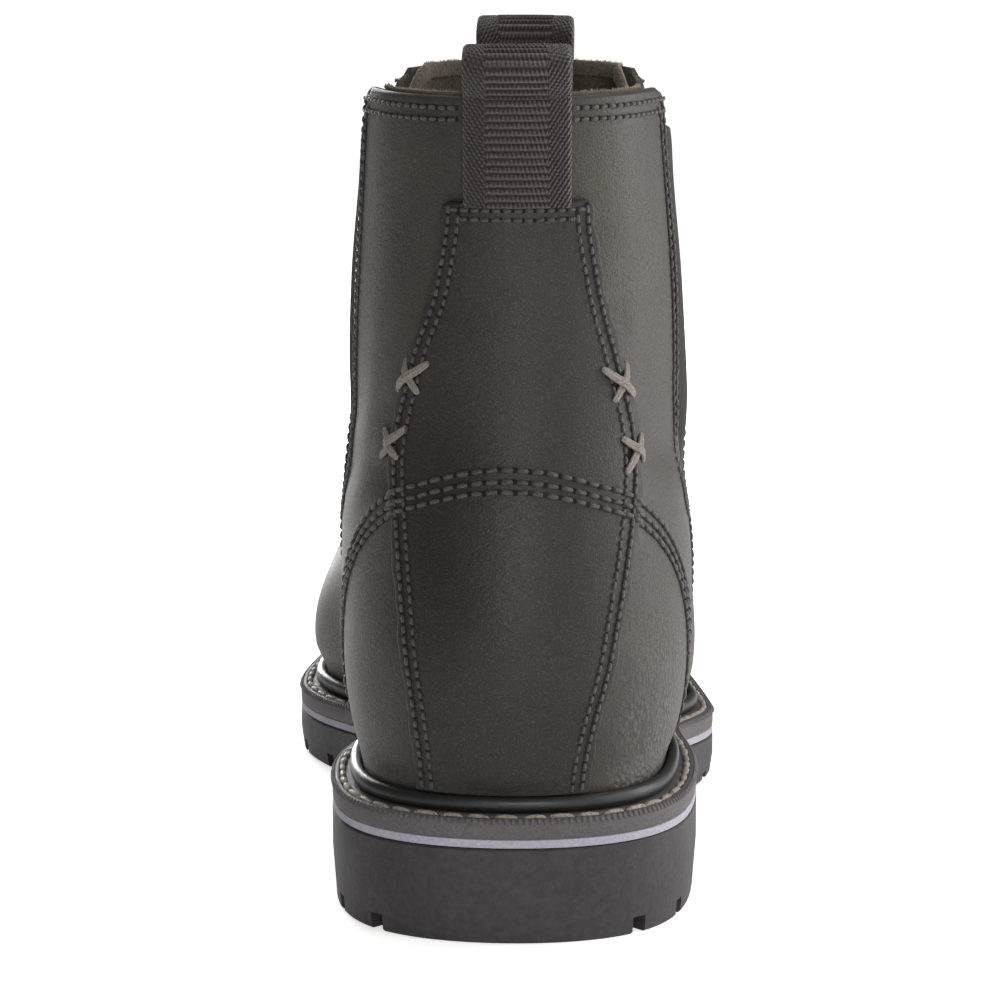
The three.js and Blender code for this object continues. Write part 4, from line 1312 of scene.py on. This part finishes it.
def box_mesh(low, high):
    xs, ys, zs = zip(low, high)
    corners = np.array([[x, y, z] for x in xs for y in ys for z in zs], float)
    faces = [[0, 1, 3, 2], [4, 6, 7, 5], [0, 4, 5, 1], [2, 3, 7, 6], [0, 2, 6, 4], [1, 5, 7, 3]]
    return corners, faces


def bar_mesh(x, y, angle, length, width, top):
    corners, faces = box_mesh((-length / 2, -width / 2, -20), (length / 2, width / 2, 0))
    c, s = math.cos(angle), math.sin(angle)
    turned = corners.copy()
    turned[:, 0] = corners[:, 0] * c - corners[:, 1] * s + x
    turned[:, 1] = corners[:, 0] * s + corners[:, 1] * c + y
    turned[corners[:, 2] == 0, 2] = top
    return turned, faces


def cut(base, shapes, operation="DIFFERENCE"):
    points, faces, start = [], [], 0
    for shape_points, shape_faces in shapes:
        points.append(shape_points)
        faces += [[i + start for i in face] for face in shape_faces]
        start += len(shape_points)
    tool = make_mesh("cutter", np.concatenate(points), faces)
    modifier = base.modifiers.new("cut", "BOOLEAN")
    modifier.operation = operation
    modifier.object = tool
    modifier.solver = "EXACT"
    modifier.use_self = len(shapes) > 1
    graph = bpy.context.evaluated_depsgraph_get()
    kept = bpy.data.meshes.new_from_object(base.evaluated_get(graph))
    base.modifiers.clear()
    base.data = kept
    bpy.data.objects.remove(tool)


def theta_at(y):
    return math.acos(1 - 2 * float(along(y)))


def edge_bar(theta, top):
    x, y = sole_edge(np.array([theta]), 0.0)
    in_x, in_y = sole_edge(np.array([theta]), 1.0)
    angle = math.atan2(float(y[0] - in_y[0]), float(x[0] - in_x[0]))
    return bar_mesh(float(x[0]), float(y[0]), angle, tread["reach"] * 2, tread["gap"], top)


# The arch: everything ahead of the heel's breast and below the tread's base
heel_breast = heel_back + sole["heel_length"]
past_edge = -6.0
arch_tool = make_mesh("arch tool", *slab([(past_edge, -20.0), (past_edge, tread_base)]))
cut(arch_tool, [box_mesh((-FAR, heel_breast, -FAR), (FAR, FAR, FAR))], "INTERSECT")
arch_points = np.array([tuple(p.co) for p in arch_tool.data.vertices]) / METRES
arch_faces = [list(p.vertices) for p in arch_tool.data.polygons]
bpy.data.objects.remove(arch_tool)
cut(outsole, [(arch_points, arch_faces)])

heel_bars = []
for share in (0.036, 0.09, 0.165):
    for side in (1, -1):
        heel_bars.append(edge_bar(side * theta_at(heel_back + share * sole["length"]), tread["depth"]))
channel_y = heel_breast - tread["reach"]
channel_length = sole["heel"] - tread["reach"] * 2
heel_bars.append(bar_mesh(0, channel_y, 0, channel_length, tread["channel"], tread["depth"]))
cut(outsole, heel_bars)

edge_thetas = []
for side in (1, -1):
    walked = tread["pitch"] / 2
    places = np.linspace(0, math.pi, 721)
    ex, ey = sole_edge(side * places, 0.0)
    for i in range(1, 721):
        if along(ey[i]) > 0.47:
            walked += math.hypot(ex[i] - ex[i - 1], ey[i] - ey[i - 1])
        if walked >= tread["pitch"]:
            walked -= tread["pitch"]
            if places[i] < math.pi - 0.12:
                edge_thetas.append(side * places[i])
fore_bars = []
for theta_edge in edge_thetas:
    _, y = sole_edge(np.array([theta_edge]), 0.0)
    fore_bars.append(edge_bar(theta_edge, float(tread_base(y)[0]) + tread["depth"]))
y = heel_back + 0.5 * sole["length"] + tread["chevron"]
while along(y) < 0.9:
    for side in (1, -1):
        top = float(tread_base(y)) + tread["depth"]
        angle = -side * math.radians(tread["angle"])
        bar_x = side * tread["reach"] + float(middle_at(y))
        fore_bars.append(bar_mesh(bar_x, y, angle, tread["reach"] * 2.2, tread["channel"], top))
    y += tread["chevron"]
cut(outsole, fore_bars)
outsole.data.materials.clear()
outsole.data.materials.append(rubber_skin)
outsole.data.polygons.foreach_set("use_smooth", [True] * len(outsole.data.polygons))
outsole.data.set_sharp_from_angle(angle=math.radians(32))
settle(outsole, "outsole_rubber", "outsole")
for piece in (welt, stripe, board, leather_upper, back_stay):
    piece.data.set_sharp_from_angle(angle=math.radians(50))


# %% [markdown]
# Seams. Dark thread everywhere on the leather: double rows round the stay, three rows over the heel,
# two rows under the collar and beside each gore. A bump texture could show them, but it stays flat
# where a seam runs along the outline. Each row is a path on the surface with real stitches on it.

# %% Leather seams
def stay_lift(count):
    return np.full(count, stay["thick"] + upper["gap"] + 0.28)


def path_on(theta, v, lift, follow=1.0):
    """A path over the skin at a height, which follows the skin's creases by a share."""
    out = outward_at(theta, v)
    base = outer_point(theta, v)
    return base + out * (np.asarray(lift) + follow * crease_lift(theta, v, base))[:, None], out


stay_paths = []
for inset in (2.1, 4.3):
    up = np.linspace(0.01, 1 - inset / (stay["top"] - stay_foot), 150)
    for side in (1, -1):
        x, z = stay_edge(side, up, inset)
        theta, v = from_back(np.stack([x, z], -1))
        stay_paths.append(path_on(theta, v, stay_lift(150), 0.5))
    x_right, z_top = stay_edge(1, up[-1:], inset)
    x_left, _ = stay_edge(-1, up[-1:], inset)
    x = np.linspace(x_left[0] + 1.2, x_right[0] - 1.2, 60)
    theta, v = from_back(np.stack([x, np.full(60, z_top[0])], -1))
    stay_paths.append(path_on(theta, v, stay_lift(60), 0.5))
sew("stay seams", stay_paths, 2.5, (2.1, 0.95, 0.80), 3, 1.45)

# The three rows of the heel, drawn in side view as an arch from the welt, over the back and down
heel_paths = []
for row, (height, reach) in enumerate(((79, 68), (76.3, 65.4), (74.0, 63.2))):
    foot = welt_zero + rand["height"] * 0.6
    turn = np.linspace(0.02, math.pi / 2, 110)
    power = 2 / 1.6
    side_y = heel_back + reach * np.cos(turn) ** power
    side_z = foot + height * np.sin(turn) ** power
    for side in (1, -1):
        start_y = outer_point(0.0, 0.5)[1]
        bent = side_y > start_y + 9
        theta, v = from_side(np.stack([side_y[bent], side_z[bent]], -1), side)
        end_theta, end_v = theta[-1], v[-1]
        top_z = foot + height
        rest = np.linspace(end_theta, 0, 60)[1:]
        goal_z = side_z[bent][-1] + (top_z - side_z[bent][-1]) * np.sin(np.linspace(0, math.pi / 2, 59))
        rest_v = np.full(59, end_v)
        for _ in range(12):
            rest_v = rest_v + (goal_z - outer_point(rest, rest_v)[:, 2]) / 260
        all_theta = np.concatenate([theta, rest])
        all_v = np.concatenate([v, rest_v])
        here = outer_point(all_theta, all_v)
        edge_x, _ = stay_edge(1, (here[:, 2] - stay_foot) / (stay["top"] - stay_foot))
        edge_low, _ = stay_edge(-1, (here[:, 2] - stay_foot) / (stay["top"] - stay_foot))
        inland = np.minimum(edge_x - here[:, 0], here[:, 0] - edge_low)
        over_stay = ramp(-1.0, 1.0, inland) * (here[:, 1] < heel_back + 50)
        lift = 0.34 + over_stay * (stay["thick"] + upper["gap"] + 0.18)
        heel_paths.append(path_on(all_theta, all_v, lift, 1 - over_stay / 2))
sew("heel seams", heel_paths, 3.6, (3.1, 1.10, 0.95), 4, 1.7)

# The fine rows: their pitch, a stitch's length, width and height, and the width of the pressed line's painted
# shade
fine_row = dict(pitch=2.6, size=(2.2, 0.95, 0.80), groove_shade=1.45)
collar_paths = []
for drop in (2.6, 5.2):
    level = 1 - drop / upper["collar"]
    for low, high in ((0.30, 1.3), (-1.3, -0.30), (1.9, 2.85), (-2.85, -1.9)):
        turn = np.linspace(low, high, 60)
        ys = outer_point(turn, np.full(60, level))[:, 1]
        clear = np.abs(ys - window_middle) > gore["top"] / 2 + 2.0
        if clear.sum() > 4:
            collar_paths.append(path_on(turn[clear], np.full(clear.sum(), level), np.full(clear.sum(), 0.3)))
sew("collar seams", collar_paths, seed=5, **fine_row)

gore_paths = []
for side in (1, -1):
    for offset in (2.4, 4.8):
        line = window_outline(offset, 199.0)
        theta, v = from_side(line, side)
        keep = v < 0.985
        gore_paths.append(path_on(theta[keep], v[keep], np.full(keep.sum(), 0.3)))
sew("gore seams", gore_paths, seed=6, **fine_row)

# The vamp's seam runs from the foot of each gore down to the welt
vamp_paths = []
for side in (1, -1):
    for shift in (0.0, 2.6):
        corners = np.array([[0, window_low - 6], [6, 74], [16, 46], [20, 32]])
        line = smooth_line(corners + [window_middle + shift, 0])
        theta, v = from_side(line, side)
        vamp_paths.append(path_on(theta, v, np.full(len(theta), 0.3)))
sew("vamp seams", vamp_paths, seed=7, **fine_row)

# %% [markdown]
# The welt's lock stitches are pale and heavy and lie in a shallow groove. The wheeling is the row of
# fine ribs that a heated wheel presses into the rim. Both repeat, so they are laid along a ring as well.


# %% Welt stitches and wheeling
def ring_path(inset, height):
    points = sole_ring(inset, height)
    closed = np.concatenate([points, points[:1]])
    out = np.zeros_like(closed)
    out[:, 2] = 1
    return closed, out


welt_path = [ring_path(2.5, welt_level(0.1))]
welt_size = (6.4, 1.6, 1.35)
welt_stitches = lay("welt stitches", welt_path, stitch_shape, 6.6, welt_size, welt_thread, 8, 0.13)
settle(welt_stitches, "welt_strip")
x, y = sole_edge(round_theta, 0.1)
rim_x, rim_y = sole_edge(round_theta, -1.0)
out = np.stack([rim_x - x, rim_y - y, np.full_like(x, 0.9)], -1)
out /= np.linalg.norm(out, axis=1, keepdims=True)
rim = np.stack([x, y, welt_top(y) - 0.55], -1)
wheel_path = (np.concatenate([rim, rim[:1]]), np.concatenate([out, out[:1]]))
wheeling = lay("welt wheeling", [wheel_path], rib_shape, 1.55, (1.0, 1.7, 0.4), welt_skin, 9, 0.05)
settle(wheeling, "welt_strip")

# %% [markdown]
# Four hand crosses of flat waxed cord hold the stay to the quarters. Each strand is a flat ribbon that
# rises from one hole, crosses its mate and dives into the other. A bevelled curve would come out round,
# so the flat, furrowed section is carried along the strand here.

# %% Cross stitches
crosses = [
    # lower strand from and to, then the strand that lies over it, in x and z of the back view
    (((-24.5, 137.4), (-20.3, 129.7)), ((-17.8, 137.2), (-26.8, 129.4))),
    (((-30.0, 119.6), (-25.2, 113.4)), ((-23.0, 121.1), (-31.0, 112.6))),
    (((27.3, 136.3), (23.4, 127.7)), ((20.8, 135.8), (28.8, 128.0))),
    (((30.2, 119.0), (26.3, 110.1)), ((25.3, 118.5), (31.5, 112.0))),
]


def strand(start, end, over):
    steps, around = 30, 32
    t = np.linspace(0, 1, steps)
    ends = np.asarray([start, end])
    theta_ends, v_ends = from_back(ends)
    theta = theta_ends[0] + (theta_ends[1] - theta_ends[0]) * t
    v = v_ends[0] + (v_ends[1] - v_ends[0]) * t
    out = outward_at(theta, v)
    here = outer_point(theta, v)
    up = (here[:, 2] - stay_foot) / (stay["top"] - stay_foot)
    right, _ = stay_edge(1, up)
    left, _ = stay_edge(-1, up)
    on_stay = ramp(-1.2, 1.2, np.minimum(right - here[:, 0], here[:, 0] - left))
    hump = np.clip(np.sin(math.pi * t), 0, 1) ** 0.35
    crossing = np.exp(-(((t - 0.5) / 0.17) ** 2))
    lift = 0.1 + on_stay * (stay["thick"] + upper["gap"]) + hump * (0.75 + over * crossing)
    lift = np.maximum(lift, 1.0 * hump)
    middle = here + out * lift[:, None]
    way = np.gradient(middle, axis=0)
    way /= np.linalg.norm(way, axis=1, keepdims=True)
    side = np.cross(way, out)
    side /= np.linalg.norm(side, axis=1, keepdims=True)
    above = np.cross(side, way)
    wide = 1.05 * (0.45 + 0.55 * hump)
    tall = 0.42
    points = []
    for turn in full_turn(around):
        furrow = 0.22 * abs(math.sin(turn)) * math.cos(8 * math.cos(turn))
        ripple = 1 + 0.05 * np.sin(t * 40 + turn * 3) + furrow
        sideways = side * (wide * ripple * math.cos(turn))[:, None]
        points.append(middle + sideways + above * (tall * ripple * math.sin(turn))[:, None])
    points = np.stack(points, 1).reshape(-1, 3)
    faces = grid_faces(steps, around, wrap=True, flip=True).tolist()
    faces += [list(range(around)), list(range((steps - 1) * around, steps * around))[::-1]]
    return points, faces


all_points, all_faces, start = [], [], 0
for lower, upper_strand in crosses:
    for ends, over in ((lower, 0.0), (upper_strand, 0.85)):
        points, faces = strand(ends[0], ends[1], over)
        all_points.append(points)
        all_faces += [[i + start for i in face] for face in faces]
        start += len(points)
cross_cords = make_mesh("cross stitches", np.concatenate(all_points), all_faces, cord_skin)
settle(cross_cords, "upper_leather")

for shape in (stitch_shape, rib_shape, hair_shape, hole_shade_disc):
    bpy.data.objects.remove(shape)

# %% [markdown]
# Studio: a plain pale floor and a white surround. Soft lights stand at the right, behind the camera,
# ahead at the left and overhead, so that the dark leather shows its curve at both sides. The floor
# glows for the camera, and less for reflections, because a lit floor alone would come out grey.

# %% Floor, lights and camera
scene = bpy.context.scene
floor_material, tree, shader, place = new_material("floor")
shader.inputs["Base Color"].default_value = (0.93, 0.93, 0.93, 1)
shader.inputs["Roughness"].default_value = 0.9
ray = put(tree, "ShaderNodeLightPath").outputs
seen = plus(tree, ray["Is Camera Ray"], times(tree, ray["Is Glossy Ray"], 0.45))
shader.inputs["Emission Color"].default_value = (1, 0.995, 0.985, 1)
far_off = put(tree, "ShaderNodeVectorMath", {0: place}, operation="LENGTH").outputs["Value"]
glow = remap(tree, far_off, 0.30, 0.9, 0.60, 1.0)
tree.links.new(times(tree, seen, glow), shader.inputs["Emission Strength"])
floor_half = 6000.0
floor_below = 0.02
signs = [[-1, -1], [1, -1], [1, 1], [-1, 1]]
floor_corners = np.array([[x * floor_half, y * floor_half, -floor_below] for x, y in signs])
floor = make_mesh("floor", floor_corners, [[0, 1, 2, 3]], floor_material, False)
floor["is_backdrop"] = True

world = bpy.data.worlds.new("studio")
scene.world = world
world.use_nodes = True
seen = put(world.node_tree, "ShaderNodeLightPath").outputs["Is Camera Ray"]
strength = remap(world.node_tree, seen, 0.0, 1.0, 0.13, 1.0)
world.node_tree.nodes["Background"].inputs[0].default_value = (1, 1, 1, 1)
world.node_tree.links.new(strength, world.node_tree.nodes["Background"].inputs[1])


def area_light(name, place, target, size, power):
    data = bpy.data.lights.new(name, "AREA")
    data.shape = "RECTANGLE"
    data.size, data.size_y = size
    data.energy = power
    made = bpy.data.objects.new(name, data)
    bpy.context.collection.objects.link(made)
    made.location = place
    made.rotation_euler = (Vector(target) - Vector(place)).to_track_quat("-Z", "Y").to_euler()
    made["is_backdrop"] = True
    return made


area_light("key", (0.80, -0.36, 0.40), (0.02, 0, 0.10), (0.28, 0.8), 2.5)
area_light("edge", (0.95, 0.30, 0.35), (0.02, 0, 0.10), (0.4, 0.7), 7)
area_light("back_soft", (0.18, -1.25, 0.36), (0, 0, 0.02), (0.5, 0.25), 7.0)
area_light("left", (-0.42, 1.2, 0.45), (-0.05, 0.15, 0.06), (0.4, 0.6), 9)
area_light("sheen", (-0.30, 1.1, 0.12), (-0.05, 0.13, 0.08), (0.35, 0.2), 4)
area_light("top", (0.1, 0.3, 1.4), (0, 0, 0.1), (0.9, 0.9), 9)

camera_data = bpy.data.cameras.new("camera")
camera_data.sensor_width = 36
camera_data.lens = 134.28
camera = bpy.data.objects.new("camera", camera_data)
bpy.context.collection.objects.link(camera)
camera.location = (0.0343, -0.8923, 0.255)
look_down = 9.8
look_left = 2.392
camera.rotation_euler = (math.radians(90 - look_down), 0, math.radians(look_left))
scene.camera = camera
scene.view_settings.view_transform = "Standard"
print("lights", [light.name for light in bpy.data.lights])

# %% [markdown]
# Last, the box round all shown pieces is measured and printed.

# %% Sizes and finish
low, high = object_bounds()
print("visual", [round(c, 4) for c in (*low, *high)])
